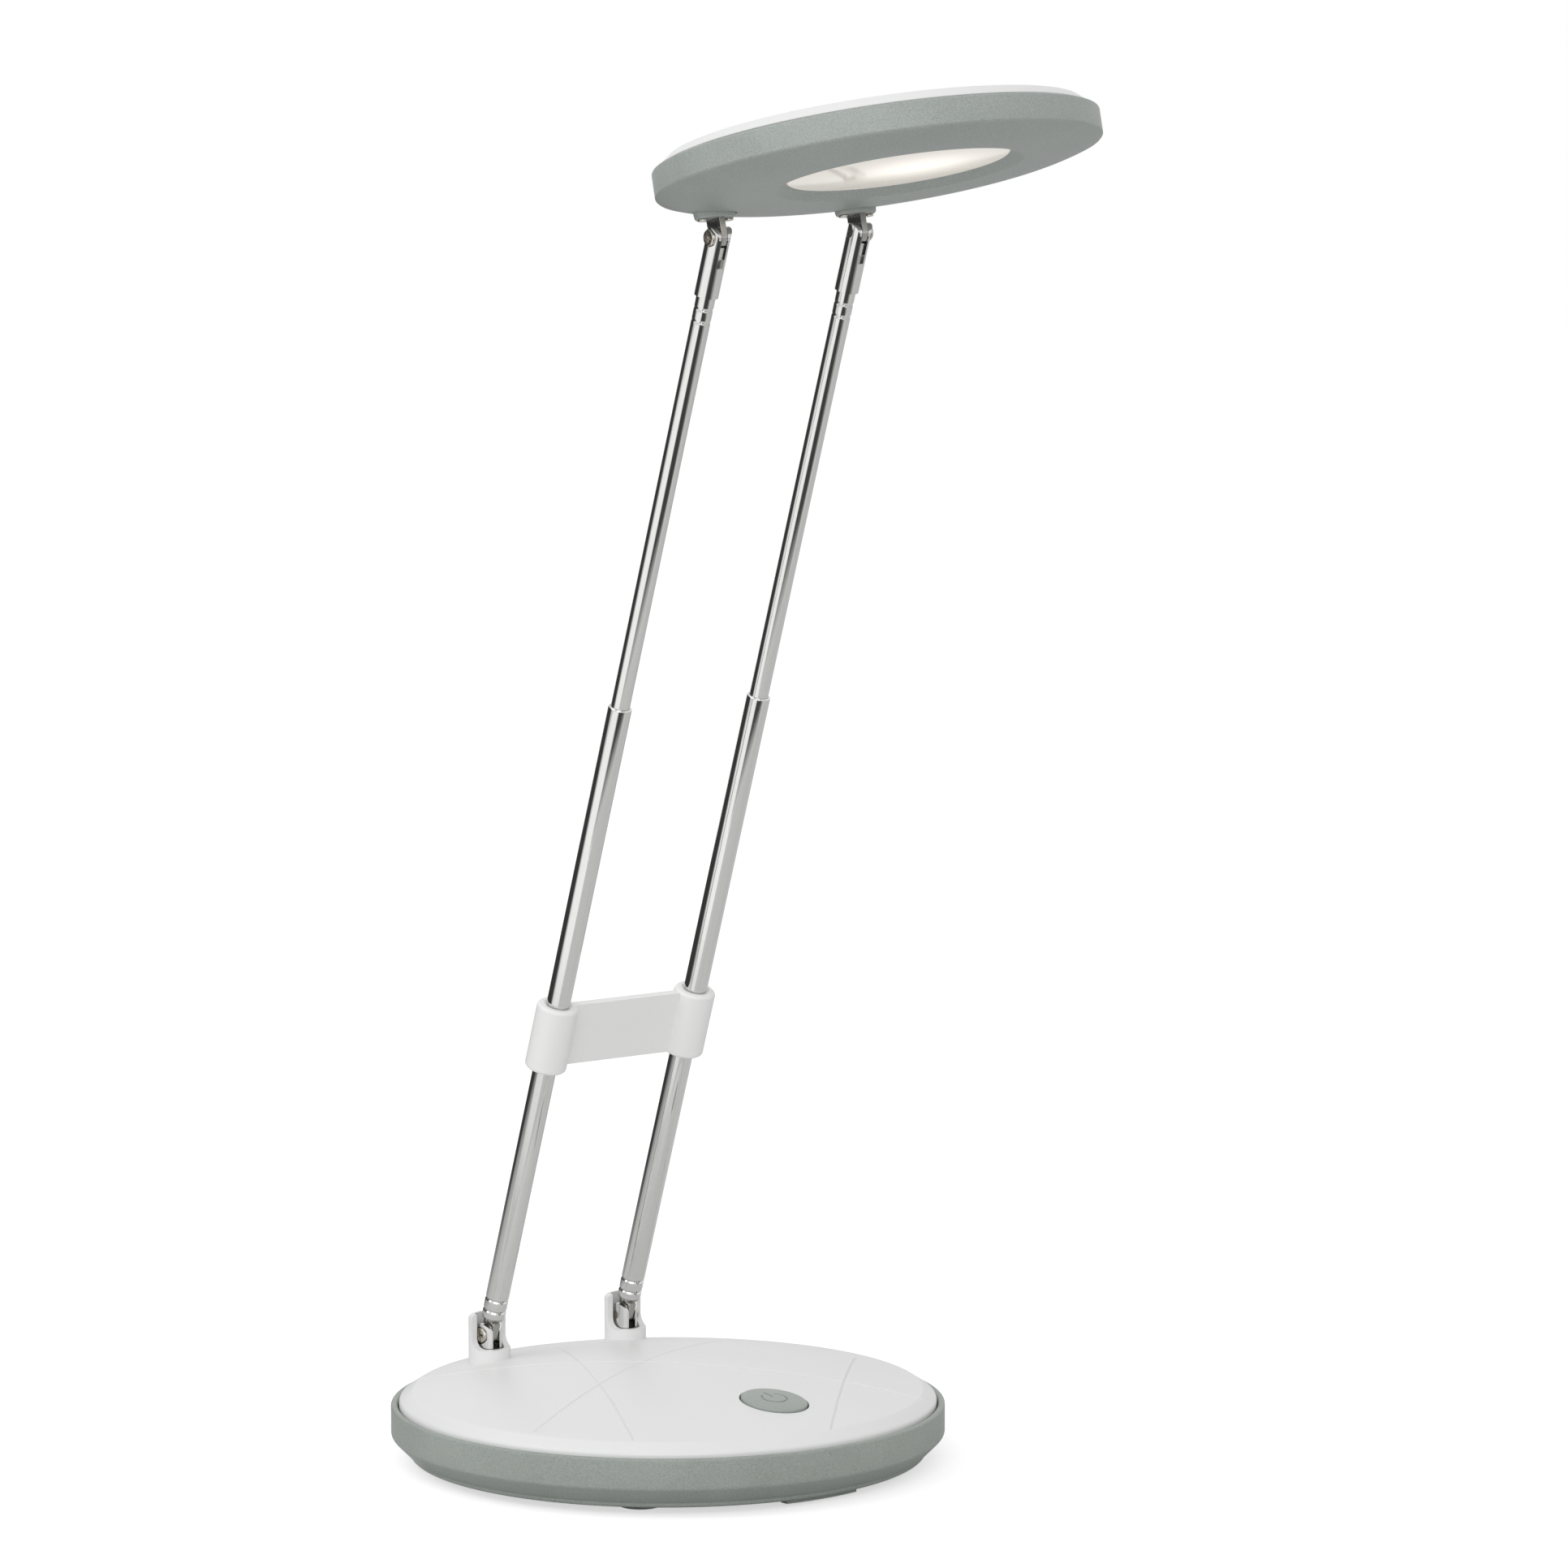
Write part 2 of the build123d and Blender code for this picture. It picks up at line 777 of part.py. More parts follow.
def lower_tube(side):
    inner = lower_tube_radius - lower_tube_wall
    neck = upper_tube_radius + running_gap
    mouth = (lower_tube_radius, lower_tube_mouth)
    outline = [(inner, lower_tube_start), (lower_tube_radius, lower_tube_start)]
    for ring in (crimp_first, crimp_first + crimp_pitch):
        outline.append((lower_tube_radius, ring - crimp_half_width))
        outline.append((lower_tube_radius - crimp_depth, ring))
        outline.append((lower_tube_radius, ring + crimp_half_width))
    outline.append(mouth)
    outline.append((neck, lower_tube_mouth))
    outline.append((neck, lower_tube_mouth - mouth_roll))
    outline.append((inner, lower_tube_mouth - mouth_roll))
    tube = turned(outline, [(mouth, mouth_round)])
    return arm_frame * Pos(side * arm_x, 0) * tube


def lower_end_plug(side):
    """Plug in the foot of the lower tube, with a neck and the flat blade of the hinge."""
    inner = lower_tube_radius - lower_tube_wall - thread_gap
    outline = [
        (0, neck_start),
        (neck_radius, neck_start),
        (lower_tube_radius - thread_gap, lower_tube_start),
        (inner, lower_tube_start),
        (inner, lower_tube_start + plug_depth),
        (0, lower_tube_start + plug_depth),
    ]
    plug = turned(outline)
    plug += block(blade_thick, 2 * blade_end_radius, 0, neck_start)
    plug += cross_rod(blade_end_radius, -blade_thick / 2, blade_thick / 2)
    plug -= cross_rod(hinge_screw_radius + running_gap, -blade_thick, blade_thick)
    return arm_frame * Pos(side * arm_x, 0) * plug


# Upper tubes, from their foot inside the lower tubes to their seat in the knuckles
upper_foot = lower_tube_mouth - upper_tube_overlap
knuckle_foot = head_pivot - knuckle_length
upper_top = knuckle_foot + knuckle_bore_depth


def upper_tube(side):
    inner = upper_tube_radius - upper_tube_wall
    tube = rod(upper_tube_radius, upper_foot, upper_top) - rod(inner, upper_foot, upper_top)
    return arm_frame * Pos(side * arm_x, 0) * tube


def friction_sleeve(side):
    """Spring sleeve round the foot of the upper tube, which rubs in the lower tube."""
    outer = lower_tube_radius - lower_tube_wall - running_gap
    foot = upper_foot - sleeve_length / 2
    spigot = upper_tube_radius - upper_tube_wall - thread_gap
    sleeve = rod(outer, foot, upper_foot) + rod(spigot, upper_foot, upper_foot + sleeve_length / 2)
    sleeve -= rod(spigot - sleeve_wall, foot, upper_foot + sleeve_length / 2)
    return arm_frame * Pos(side * arm_x, 0) * sleeve


def head_knuckle(side):
    foot = -knuckle_length
    knuckle = cheeks(knuckle_radius, foot, tongue_thick + 2 * blade_gap, knuckle_slot_floor)
    knuckle -= hinge_holes(side, knuckle_radius)
    knuckle -= rod(upper_tube_radius + thread_gap, foot, foot + knuckle_bore_depth)
    return knuckle_frame * Pos(side * arm_x, 0) * knuckle


def head_hinge_screw(side):
    return knuckle_frame * Pos(side * arm_x, 0) * hinge_screw(side, knuckle_radius)


def bridge_clip():
    top = clip_start + clip_height
    foot_edge = (clip_radius, clip_start)
    top_edge = (clip_radius, top)
    sleeve = turned(
        [(0, clip_start), foot_edge, top_edge, (0, top)], [(foot_edge, clip_round), (top_edge, clip_round)]
    )
    plate_foot = clip_start + (clip_height - clip_plate_height) / 2
    plate = block(arm_spacing, clip_plate_thick, plate_foot, plate_foot + clip_plate_height)
    clip = Pos(0, clip_plate_back) * plate
    bore = lower_tube_radius + running_gap
    wide = lower_tube_radius + clip_mouth_gap
    for name, side in sides:
        clip += Pos(side * arm_x, 0) * sleeve
    for name, side in sides:
        clip -= Pos(side * arm_x, 0) * rod(bore, clip_start, top)
        clip -= Pos(side * arm_x, 0) * rod(wide, top - clip_mouth_depth, top)
        clip -= Pos(side * arm_x, 0) * rod(wide, clip_start, clip_start + clip_mouth_depth)
    return arm_frame * clip


# Places in the head: its middle lies in front of the pivot
head_middle = Pos(0, -head_offset, 0)
lens_middle = Pos(0, -head_offset - lens_offset, 0)
lens_top = head_underside + head_floor + lens_thick
floor_inside = head_underside + head_floor
led_board_bottom = floor_inside + lens_thick + led_board_lift
led_posts = list(PolarLocations(led_post_distance, led_post_count, start_angle=30))
flange_bottom_w = head_underside - flange_drop
flange_top_w = flange_bottom_w + flange_thick
foot_top_w = flange_top_w + tongue_foot_thick
flange_screws_at = [Pos(-flange_screw_spacing / 2, 0), Pos(flange_screw_spacing / 2, 0)]


def flange_outline(grow=0.0):
    return Ellipse(flange_width / 2 + grow, flange_depth / 2 + grow)


def belly(radius, lifted):
    """Height of the head's underside, or of its inner face, at a radius."""
    out = max(0.0, radius - head_flat_radius)
    return head_underside + lifted + head_belly_radius - sqrt(head_belly_radius**2 - out**2)


def head_shell_outline(outer, bottom, top):
    """Half of the housing's outline: flat bottom, round belly and upright wall."""
    knee = outer - head_corner_round
    half = (head_flat_radius + knee) / 2
    lifted = bottom - head_underside
    return [
        Line((0, bottom), (head_flat_radius, bottom)),
        ThreePointArc((head_flat_radius, bottom), (half, belly(half, lifted)), (knee, belly(knee, lifted))),
        Polyline(
            (knee, belly(knee, lifted)),
            (outer, belly(knee, lifted) + head_corner_round),
            (outer, top),
            (0, top),
            (0, bottom),
        ),
    ]


def head_housing():
    inner = head_radius - head_wall
    knee = head_radius - head_corner_round
    corner = (head_radius, belly(knee, 0) + head_corner_round)
    face = make_face(Curve() + head_shell_outline(head_radius, head_underside, head_rim_top))
    face = fillet(face.vertices().sort_by_distance((head_radius, head_rim_top))[0], head_rim_round)
    face = fillet(face.vertices().sort_by_distance(corner)[0], head_corner_round)
    face = fillet(face.vertices().sort_by_distance((knee, belly(knee, 0)))[0], head_corner_round)
    shell = revolve(Plane.XZ * face, Axis.Z)
    hollow = make_face(Curve() + head_shell_outline(inner, floor_inside, 2 * head_rim_top))
    shell -= revolve(Plane.XZ * hollow, Axis.Z)
    # Ledge inside the wall that carries the lid
    ledge_top = head_rim_top - lid_skirt
    ring = rod(inner + head_wall / 2, ledge_top - head_ledge_thick, ledge_top)
    ring -= rod(inner - head_ledge, ledge_top - head_ledge_thick, ledge_top)
    housing = head_middle * (shell + ring)
    # Posts for the light board
    post = rod(led_post_radius, floor_inside - head_floor / 2, led_board_bottom)
    housing += copies(led_posts, post, lens_middle)
    # Bosses over the hinges
    for name, side in sides:
        boss_top = foot_top_w + hinge_boss_cover
        boss = Pos(0, 0, flange_top_w - head_floor / 2) * extrude(
            flange_outline(head_wall), boss_top - flange_top_w + head_floor / 2
        )
        housing += Pos(side * arm_x, 0) * boss
    for name, side in sides:
        place = Pos(side * arm_x, 0)
        housing -= place * Pos(0, 0, 0) * extrude(flange_outline(flange_gap), flange_top_w)
        pocket = block(tongue_foot_width + 2 * flange_gap, tongue_depth + 2 * flange_gap, 0, foot_top_w)
        housing -= place * pocket
        screw_top = flange_bottom_w + flange_screw_length + thread_gap
        housing -= copies(flange_screws_at, rod(flange_screw_radius + thread_gap, 0, screw_top), place)
        housing -= place * rod(wire_radius + wire_gap, 0, 2 * head_rim_top)
    # Lens opening with a bevelled recess, and holes for the board's screws
    bevel = turned(
        [
            (0, head_underside),
            (lens_radius + lens_recess, head_underside),
            (lens_radius, head_underside + lens_depth),
            (lens_radius, floor_inside),
            (0, floor_inside),
        ]
    )
    housing -= lens_middle * bevel
    hole_bottom = led_board_bottom - led_screw_length - thread_gap
    hole = rod(led_screw_radius + thread_gap, hole_bottom, led_board_bottom)
    housing -= copies(led_posts, hole, lens_middle)
    return head_frame * housing


def lens():
    rim = lens_radius + lens_rim
    disc = rod(rim, floor_inside, lens_top)
    disc += rod(lens_radius - lens_gap, head_underside + lens_depth, floor_inside)
    return head_frame * lens_middle * disc


def led_board():
    board = rod(led_board_radius, led_board_bottom, led_board_bottom + led_board_thick)
    hole = rod(led_screw_radius + thread_gap, led_board_bottom, led_board_bottom + led_board_thick)
    board -= copies(led_posts, hole)
    return head_frame * lens_middle * board


def leds():
    chip = block(led_size, led_size, led_board_bottom - led_height, led_board_bottom)
    spots = [Pos(0, 0)]
    spots += PolarLocations(led_inner_distance, led_inner_count)
    spots += PolarLocations(led_outer_distance, led_outer_count)
    return [head_frame * lens_middle * spot * chip for spot in spots]


def led_screws():
    screw = pan_screw(led_screw_radius, led_screw_length + led_board_thick, led_head_radius, led_head_height)
    seat = Pos(0, 0, led_board_bottom + led_board_thick)
    return [head_frame * lens_middle * place * seat * screw for place in led_posts]


def head_cover():
    """Lid of the head: a skirt inside the wall, a sloped edge and a shallow dome."""
    radius = head_radius - lid_inset
    skirt_radius = head_radius - head_wall - lid_gap
    foot = head_rim_top - lid_skirt
    step = head_rim_top + lid_gap
    edge_radius = radius - lid_edge_run
    edge_height = step + lid_edge_rise
    bend = (edge_radius**2 + lid_dome_rise**2) / (2 * lid_dome_rise)
    centre = edge_height + lid_dome_rise - bend
    inner_edge = edge_radius - lid_wall
    inner_bend = bend - lid_wall
    half = edge_radius / 2
    inner_half = inner_edge / 2
    skirt_inner = skirt_radius - lid_wall

    def outside(spot):
        return (spot, centre + sqrt(bend**2 - spot**2))

    def inside(spot):
        return (spot, centre + sqrt(inner_bend**2 - spot**2))

    outline = [
        ThreePointArc(outside(0), outside(half), outside(edge_radius)),
        Polyline(
            outside(edge_radius),
            (radius, step),
            (skirt_radius, step),
            (skirt_radius, foot),
            (skirt_inner, foot),
            (skirt_inner, step),
            inside(inner_edge),
        ),
        ThreePointArc(inside(inner_edge), inside(inner_half), inside(0)),
        Line(inside(0), outside(0)),
    ]
    face = make_face(Curve() + outline)
    face = fillet(face.vertices().sort_by_distance(outside(edge_radius))[0], lid_edge_round)
    return head_frame * head_middle * revolve(Plane.XZ * face, Axis.Z)


def head_tongue(side):
    """Flat blade of the head hinge, with a foot above the flange."""
    blade = block(tongue_thick, 2 * tongue_end_radius, 0, foot_top_w)
    blade += cross_rod(tongue_end_radius, -tongue_thick / 2, tongue_thick / 2)
    blade += block(tongue_foot_width, tongue_depth, flange_top_w, foot_top_w)
    blade -= cross_rod(hinge_screw_radius + running_gap, -tongue_thick, tongue_thick)
    return head_frame * Pos(side * arm_x, 0) * blade


def hinge_flange(side):
    plate = Pos(0, 0, flange_bottom_w) * extrude(flange_outline(), flange_thick)
    plate = chamfer(plate.edges().sort_by(Axis.Z)[0], flange_edge)
    slot = block(
        tongue_thick + 2 * thread_gap, 2 * tongue_end_radius + 2 * thread_gap, flange_bottom_w, flange_top_w
    )
    plate -= slot
    plate -= copies(flange_screws_at, rod(flange_screw_radius + thread_gap, flange_bottom_w, flange_top_w))
    return head_frame * Pos(side * arm_x, 0) * plate


def flange_screws():
    screw = pan_screw(flange_screw_radius, flange_screw_length, flange_head_radius, flange_head_height)
    screw = Pos(0, 0, flange_bottom_w) * Rot(180, 0, 0) * screw
    screws = []
    for name, side in sides:
        screws += copies(flange_screws_at, screw, head_frame * Pos(side * arm_x, 0))
    return screws


def board_point(x, y, z):
    """A point given in the frame of the control board."""
    return button_plane.from_local_coords(Vector(x, y, z))


def clevis_lead(side):
    """Wire from the control board round the battery box to a solder tag."""
    pad_x = side * board_width * 0.46
    lane = side * (bay_outer_end + wire_lane_gap)
    pad_y = board_depth / 3
    tail_y = pivot_y - tag_tail + tag_width / 2
    tag_bottom = clevis_seat - clevis_boss_drop - tag_thick
    return wire(
        [
            board_point(pad_x, pad_y, board_top),
            board_point(pad_x, pad_y, board_top + wire_rise),
            (lane, wire_front_gap - foot_side, wire_height),
            (lane, bay_width / 2, wire_height),
            (side * arm_x, tail_y, wire_height),
            (side * arm_x, tail_y, tag_bottom),
        ]
    )


def battery_lead(side):
    """Wire from a battery contact's tab to the control board."""
    row = side * cell_rows[-1]
    tab_end = side * (bay_outer_end + contact_tab_reach)
    pad_x = side * board_width * 0.3
    lane = side * (bay_outer_end + battery_lane_gap)
    pad_y = board_depth / 3
    return wire(
        [
            board_point(pad_x, pad_y, board_top),
            board_point(pad_x, pad_y, board_top + wire_rise),
            (lane, -bay_outer_side - battery_front_gap, cell_height),
            (tab_end, row - contact_tab_width / 2, cell_height),
        ]
    )


def head_lead(side):
    """Wire from a tongue's foot through the boss to the light board."""
    board_top_w = led_board_bottom + led_board_thick
    pad_y = head_pad_y - head_offset - lens_offset
    lead = wire(
        [
            (side * arm_x, 0, foot_top_w),
            (side * arm_x, 0, head_wire_height),
            (side * head_pad_x, pad_y, board_top_w + head_wire_arch),
            (side * head_pad_x, pad_y, board_top_w),
        ]
    )
    return head_frame * lead


save("base_tray", [base_tray()])
save("base_cover", [base_cover()])
save("battery_door", [battery_door()])
save("battery_door_screw", [door_screw()])
save("door_pad", [door_pad()])
save("rubber_feet", copies(foot_places, rubber_foot()))
save("case_screws", case_screws())
save("ballast_plate", [ballast_plate()])
save("battery_cells", battery_cells())
save("battery_contacts", battery_contacts())
save("control_board", [control_board()])
save("board_screws", board_screws())
save("push_switch", [push_switch()])
save("switch_plunger", [switch_plunger()])
save("power_button", [power_button()])
save("clevis_leads", [clevis_lead(side) for name, side in sides])
save("battery_leads", [battery_lead(side) for name, side in sides])
save("stud_nuts", [stud_nut(side) for name, side in sides])
save("solder_tags", [solder_tag(side) for name, side in sides])
for name, side in sides:
    save(f"base_clevis_{name}", [base_clevis(side)])
    save(f"base_hinge_screw_{name}", [base_hinge_screw(side)])
    save(f"lower_end_plug_{name}", [lower_end_plug(side)])
    save(f"lower_tube_{name}", [lower_tube(side)])
    save(f"friction_sleeve_{name}", [friction_sleeve(side)])
    save(f"upper_tube_{name}", [upper_tube(side)])
    save(f"head_knuckle_{name}", [head_knuckle(side)])
    save(f"head_hinge_screw_{name}", [head_hinge_screw(side)])
    save(f"head_tongue_{name}", [head_tongue(side)])
    save(f"hinge_flange_{name}", [hinge_flange(side)])
save("bridge_clip", [bridge_clip()])
save("flange_screws", flange_screws())
save("head_housing", [head_housing()])
save("head_cover", [head_cover()])
save("lens", [lens()])
save("led_board", [led_board()])
save("leds", leds())
save("led_screws", led_screws())
save("head_leads", [head_lead(side) for name, side in sides])
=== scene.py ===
import json
import math

import bmesh
import bpy
from mathutils import Matrix, Vector


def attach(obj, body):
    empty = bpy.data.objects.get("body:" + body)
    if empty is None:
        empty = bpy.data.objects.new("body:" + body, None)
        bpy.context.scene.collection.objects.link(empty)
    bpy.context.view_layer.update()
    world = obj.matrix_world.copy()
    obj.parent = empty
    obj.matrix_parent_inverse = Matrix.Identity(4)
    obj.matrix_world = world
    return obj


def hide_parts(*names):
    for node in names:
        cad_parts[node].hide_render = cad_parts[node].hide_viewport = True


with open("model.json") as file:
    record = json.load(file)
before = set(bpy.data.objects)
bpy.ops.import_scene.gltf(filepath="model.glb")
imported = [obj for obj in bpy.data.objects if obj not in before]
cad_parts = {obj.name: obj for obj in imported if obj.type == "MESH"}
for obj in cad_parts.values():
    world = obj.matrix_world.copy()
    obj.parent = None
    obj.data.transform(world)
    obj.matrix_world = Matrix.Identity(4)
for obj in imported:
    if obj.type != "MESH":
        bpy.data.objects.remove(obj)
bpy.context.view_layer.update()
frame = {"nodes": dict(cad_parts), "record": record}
nodes = frame["nodes"]
print("frame loaded:", len(nodes), "nodes")

mm = 0.001
weld = dict(spun=0.0000005, solid=0.000001, flat=0.6)  # metres, metres and degrees
lamp = dict(
    armX=21.8, pivotY=46.5, pivotZ=27.5, armLean=18.64, headReach=298.7, headTilt=13.4,
    headForward=37.4, lensForward=44.5, buttonY=-43.1,
    coverRadius=67.95, domeTop=25.0, domeRise=7.5,
)
domeRadius = (lamp["coverRadius"] ** 2 + lamp["domeRise"] ** 2) / (2 * lamp["domeRise"])
domeCentre = lamp["domeTop"] - domeRadius
sides = (("left", -1), ("right", 1))


def domeHeight(out):
    return domeCentre + math.sqrt(domeRadius ** 2 - out * out)


def place(x, y, z):
    return Matrix.Translation(Vector((x, y, z)) * mm)


def tip(degrees):
    return Matrix.Rotation(math.radians(degrees), 4, "X")


armFrame = place(0, lamp["pivotY"], lamp["pivotZ"]) @ tip(lamp["armLean"])
headFrame = armFrame @ place(0, 0, lamp["headReach"]) @ tip(-lamp["armLean"] - lamp["headTilt"])
headMiddle = headFrame @ place(0, -lamp["headForward"], 0)
lensMiddle = headFrame @ place(0, -lamp["lensForward"], 0)
buttonLean = math.degrees(math.asin(-lamp["buttonY"] / domeRadius))
buttonFrame = place(0, lamp["buttonY"], domeHeight(lamp["buttonY"])) @ tip(buttonLean)


# half outline in the XZ plane, in mm, later spun about Z
def profile(bm, points):
    verts = [bm.verts.new((out * mm, 0, up * mm)) for out, up in points]
    for first, second in zip(verts, verts[1:]):
        bm.edges.new((first, second))
    return verts


# swings a vertex about a centre in the XZ plane and leaves an arc of edges
def arcFrom(bm, vert, centre, degrees, steps):
    swept = bmesh.ops.spin(
        bm, geom=[vert], cent=(centre[0] * mm, 0, centre[1] * mm), axis=(0, 1, 0), dvec=(0, 0, 0),
        angle=math.radians(degrees), steps=steps, use_merge=False, use_duplicate=False,
    )
    return [item for item in swept["geom_last"] if isinstance(item, bmesh.types.BMVert)][0]


# rounds a corner of a half outline at a true radius
def rounded(bm, vert, radius, segments=5):
    legs = [edge.other_vert(vert).co - vert.co for edge in vert.link_edges]
    reach = radius * mm / math.tan(legs[0].angle(legs[1]) / 2)
    bmesh.ops.bevel(
        bm, geom=[vert], offset=reach, offset_type="OFFSET", affect="VERTICES",
        segments=segments, profile=0.5, material=-1, clamp_overlap=True,
    )


def spun(bm, steps):
    bmesh.ops.spin(
        bm, geom=bm.verts[:] + bm.edges[:], cent=(0, 0, 0), axis=(0, 0, 1), dvec=(0, 0, 0),
        angle=math.tau, steps=steps, use_merge=True, use_duplicate=False,
    )
    closed(bm)


def closed(bm):
    bmesh.ops.remove_doubles(bm, verts=bm.verts, dist=weld["spun"])
    bmesh.ops.dissolve_degenerate(bm, edges=bm.edges, dist=weld["spun"])
    bmesh.ops.recalc_face_normals(bm, faces=bm.faces)


def settle(bm, matrix):
    bmesh.ops.transform(bm, matrix=matrix, space=Matrix.Identity(4), verts=bm.verts)


def block(bm, low, high):
    size = [(b - a) * mm for a, b in zip(low, high)]
    middle = [(a + b) / 2 * mm for a, b in zip(low, high)]
    matrix = Matrix.Translation(middle) @ Matrix.Diagonal((*size, 1))
    bmesh.ops.create_cube(bm, size=1, matrix=matrix)


def peg(bm, radius, low, high, segments, matrix=Matrix.Identity(4)):
    bmesh.ops.create_cone(
        bm, cap_ends=True, cap_tris=False, segments=segments, radius1=radius * mm, radius2=radius * mm,
        depth=(high - low) * mm, matrix=matrix @ place(0, 0, (low + high) / 2),
    )


def asObject(bm, name):
    mesh = bpy.data.meshes.new(name)
    bm.to_mesh(mesh)
    bm.free()
    piece = bpy.data.objects.new(name, mesh)
    bpy.context.scene.collection.objects.link(piece)
    return piece


# cuts or joins with a second object, which is used up
def carve(piece, tool, operation="DIFFERENCE"):
    step = piece.modifiers.new("carve", "BOOLEAN")
    step.operation = operation
    step.solver = "EXACT"
    step.material_mode = "TRANSFER"
    step.object = tool
    bpy.context.view_layer.update()
    shaped = piece.evaluated_get(bpy.context.evaluated_depsgraph_get())
    mesh = bpy.data.meshes.new_from_object(shaped)
    piece.modifiers.clear()
    spent = [piece.data, tool.data]
    piece.data = mesh
    mesh.name = piece.name
    bpy.data.objects.remove(tool)
    for old in spent:
        bpy.data.meshes.remove(old)


# a solid of the frame as one welded skin
def skinOf(node, name):
    bm = bmesh.new()
    bm.from_mesh(nodes[node].data)
    bmesh.ops.remove_doubles(bm, verts=bm.verts, dist=weld["solid"])
    bmesh.ops.dissolve_limit(
        bm, angle_limit=math.radians(weld["flat"]), use_dissolve_boundaries=False,
        verts=bm.verts, edges=bm.edges,
    )
    return asObject(bm, name)


# finish, soft edges, and what the piece rides on and stands for
def dress(piece, material, body, covers, sharp, soften=None):
    mesh = piece.data
    mesh.materials.clear()
    mesh.materials.append(material)
    mesh.shade_smooth()
    if soften:
        edge = piece.modifiers.new("soften", "BEVEL")
        edge.limit_method = "ANGLE"
        edge.angle_limit = math.radians(sharp)
        edge.width = soften * mm
        edge.segments = 2
        edge.use_clamp_overlap = True
        even = piece.modifiers.new("even", "WEIGHTED_NORMAL")
        even.keep_sharp = True
    else:
        mesh.set_sharp_from_angle(angle=math.radians(sharp))
    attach(piece, body)
    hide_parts(*covers)


# a group shifts a colour a little and gives a height and a gloss mask
def makeGroup(name):
    group = bpy.data.node_groups.new(name, "ShaderNodeTree")
    colour, number = "NodeSocketColor", "NodeSocketFloat"
    for socket, kind in (("Colour", colour), ("Spread", number), ("Fineness", number)):
        group.interface.new_socket(name=socket, in_out="INPUT", socket_type=kind)
    for socket, kind in (("Colour", colour), ("Height", number), ("Mask", number)):
        group.interface.new_socket(name=socket, in_out="OUTPUT", socket_type=kind)
    return group, group.nodes.new("NodeGroupInput"), group.nodes.new("NodeGroupOutput")


def addNode(tree, kind, sockets=None, **settings):
    node = tree.nodes.new(kind)
    for key, value in settings.items():
        setattr(node, key, value)
    for key, value in (sockets or {}).items():
        node.inputs[key].default_value = value
    return node


def mapTo(tree, source, low, high, toLow, toHigh):
    node = addNode(tree, "ShaderNodeMapRange", {1: low, 2: high, 3: toLow, 4: toHigh})
    tree.links.new(source, node.inputs[0])
    return node.outputs[0]


def maths(tree, operation, first, second):
    node = tree.nodes.new("ShaderNodeMath")
    node.operation = operation
    for socket, value in zip(node.inputs, (first, second)):
        if isinstance(value, (int, float)):
            socket.default_value = value
        else:
            tree.links.new(value, socket)
    return node.outputs[0]


# the colour goes up and down with two noises, and the noises are passed on
def closeGroup(group, start, end, first, second, height, mask):
    shade = maths(group, "MULTIPLY", maths(group, "ADD", first, second), start.outputs["Spread"])
    tint = addNode(group, "ShaderNodeVectorMath", operation="SCALE")
    group.links.new(start.outputs["Colour"], tint.inputs[0])
    group.links.new(maths(group, "ADD", shade, 1.0), tint.inputs["Scale"])
    group.links.new(tint.outputs[0], end.inputs["Colour"])
    group.links.new(height, end.inputs["Height"])
    group.links.new(mask, end.inputs["Mask"])
    return group


# fine moulded grain over broad, faint clouds
def buildGrain():
    group, start, end = makeGroup("mouldGrain")
    coords = addNode(group, "ShaderNodeTexCoord")
    fine = addNode(group, "ShaderNodeTexNoise", {"Detail": 3.0, "Roughness": 0.62})
    broad = addNode(group, "ShaderNodeTexNoise", {"Scale": 38.0, "Detail": 3.0})
    group.links.new(coords.outputs["Object"], fine.inputs["Vector"])
    group.links.new(coords.outputs["Object"], broad.inputs["Vector"])
    group.links.new(start.outputs["Fineness"], fine.inputs["Scale"])
    speck = mapTo(group, fine.outputs[0], 0.28, 0.72, -1.0, 1.0)
    cloud = mapTo(group, broad.outputs[0], 0.3, 0.7, -0.35, 0.35)
    return closeGroup(group, start, end, speck, cloud, fine.outputs[0], broad.outputs[0])


# drawn or turned metal: streaks along the arms, with a faint haze in the plating
def buildDrawn():
    group, start, end = makeGroup("drawnMetal")
    coords = addNode(group, "ShaderNodeTexCoord")
    along = addNode(group, "ShaderNodeMapping", vector_type="TEXTURE")
    along.inputs["Rotation"].default_value = (math.radians(lamp["armLean"]), 0, 0)
    along.inputs["Scale"].default_value = (1, 1, streakLong)
    streak = addNode(group, "ShaderNodeTexNoise", {"Detail": 2.0, "Roughness": 0.55})
    haze = addNode(group, "ShaderNodeTexNoise", {"Scale": 900.0, "Detail": 3.0, "Roughness": 0.65})
    group.links.new(coords.outputs["Object"], along.inputs["Vector"])
    group.links.new(along.outputs[0], streak.inputs["Vector"])
    group.links.new(coords.outputs["Object"], haze.inputs["Vector"])
    group.links.new(start.outputs["Fineness"], streak.inputs["Scale"])
    line = mapTo(group, streak.outputs[0], 0.3, 0.7, -1.0, 1.0)
    speck = mapTo(group, haze.outputs[0], 0.3, 0.7, -0.6, 0.6)
    return closeGroup(group, start, end, line, speck, streak.outputs[0], haze.outputs[0])


streakLong = 90  # times as long as wide
mouldGrain = buildGrain()
drawnMetal = buildDrawn()
# the mask's range, and the reflection of all finishes but the lens
gloss = dict(low=0.3, high=0.7, specular=0.4)


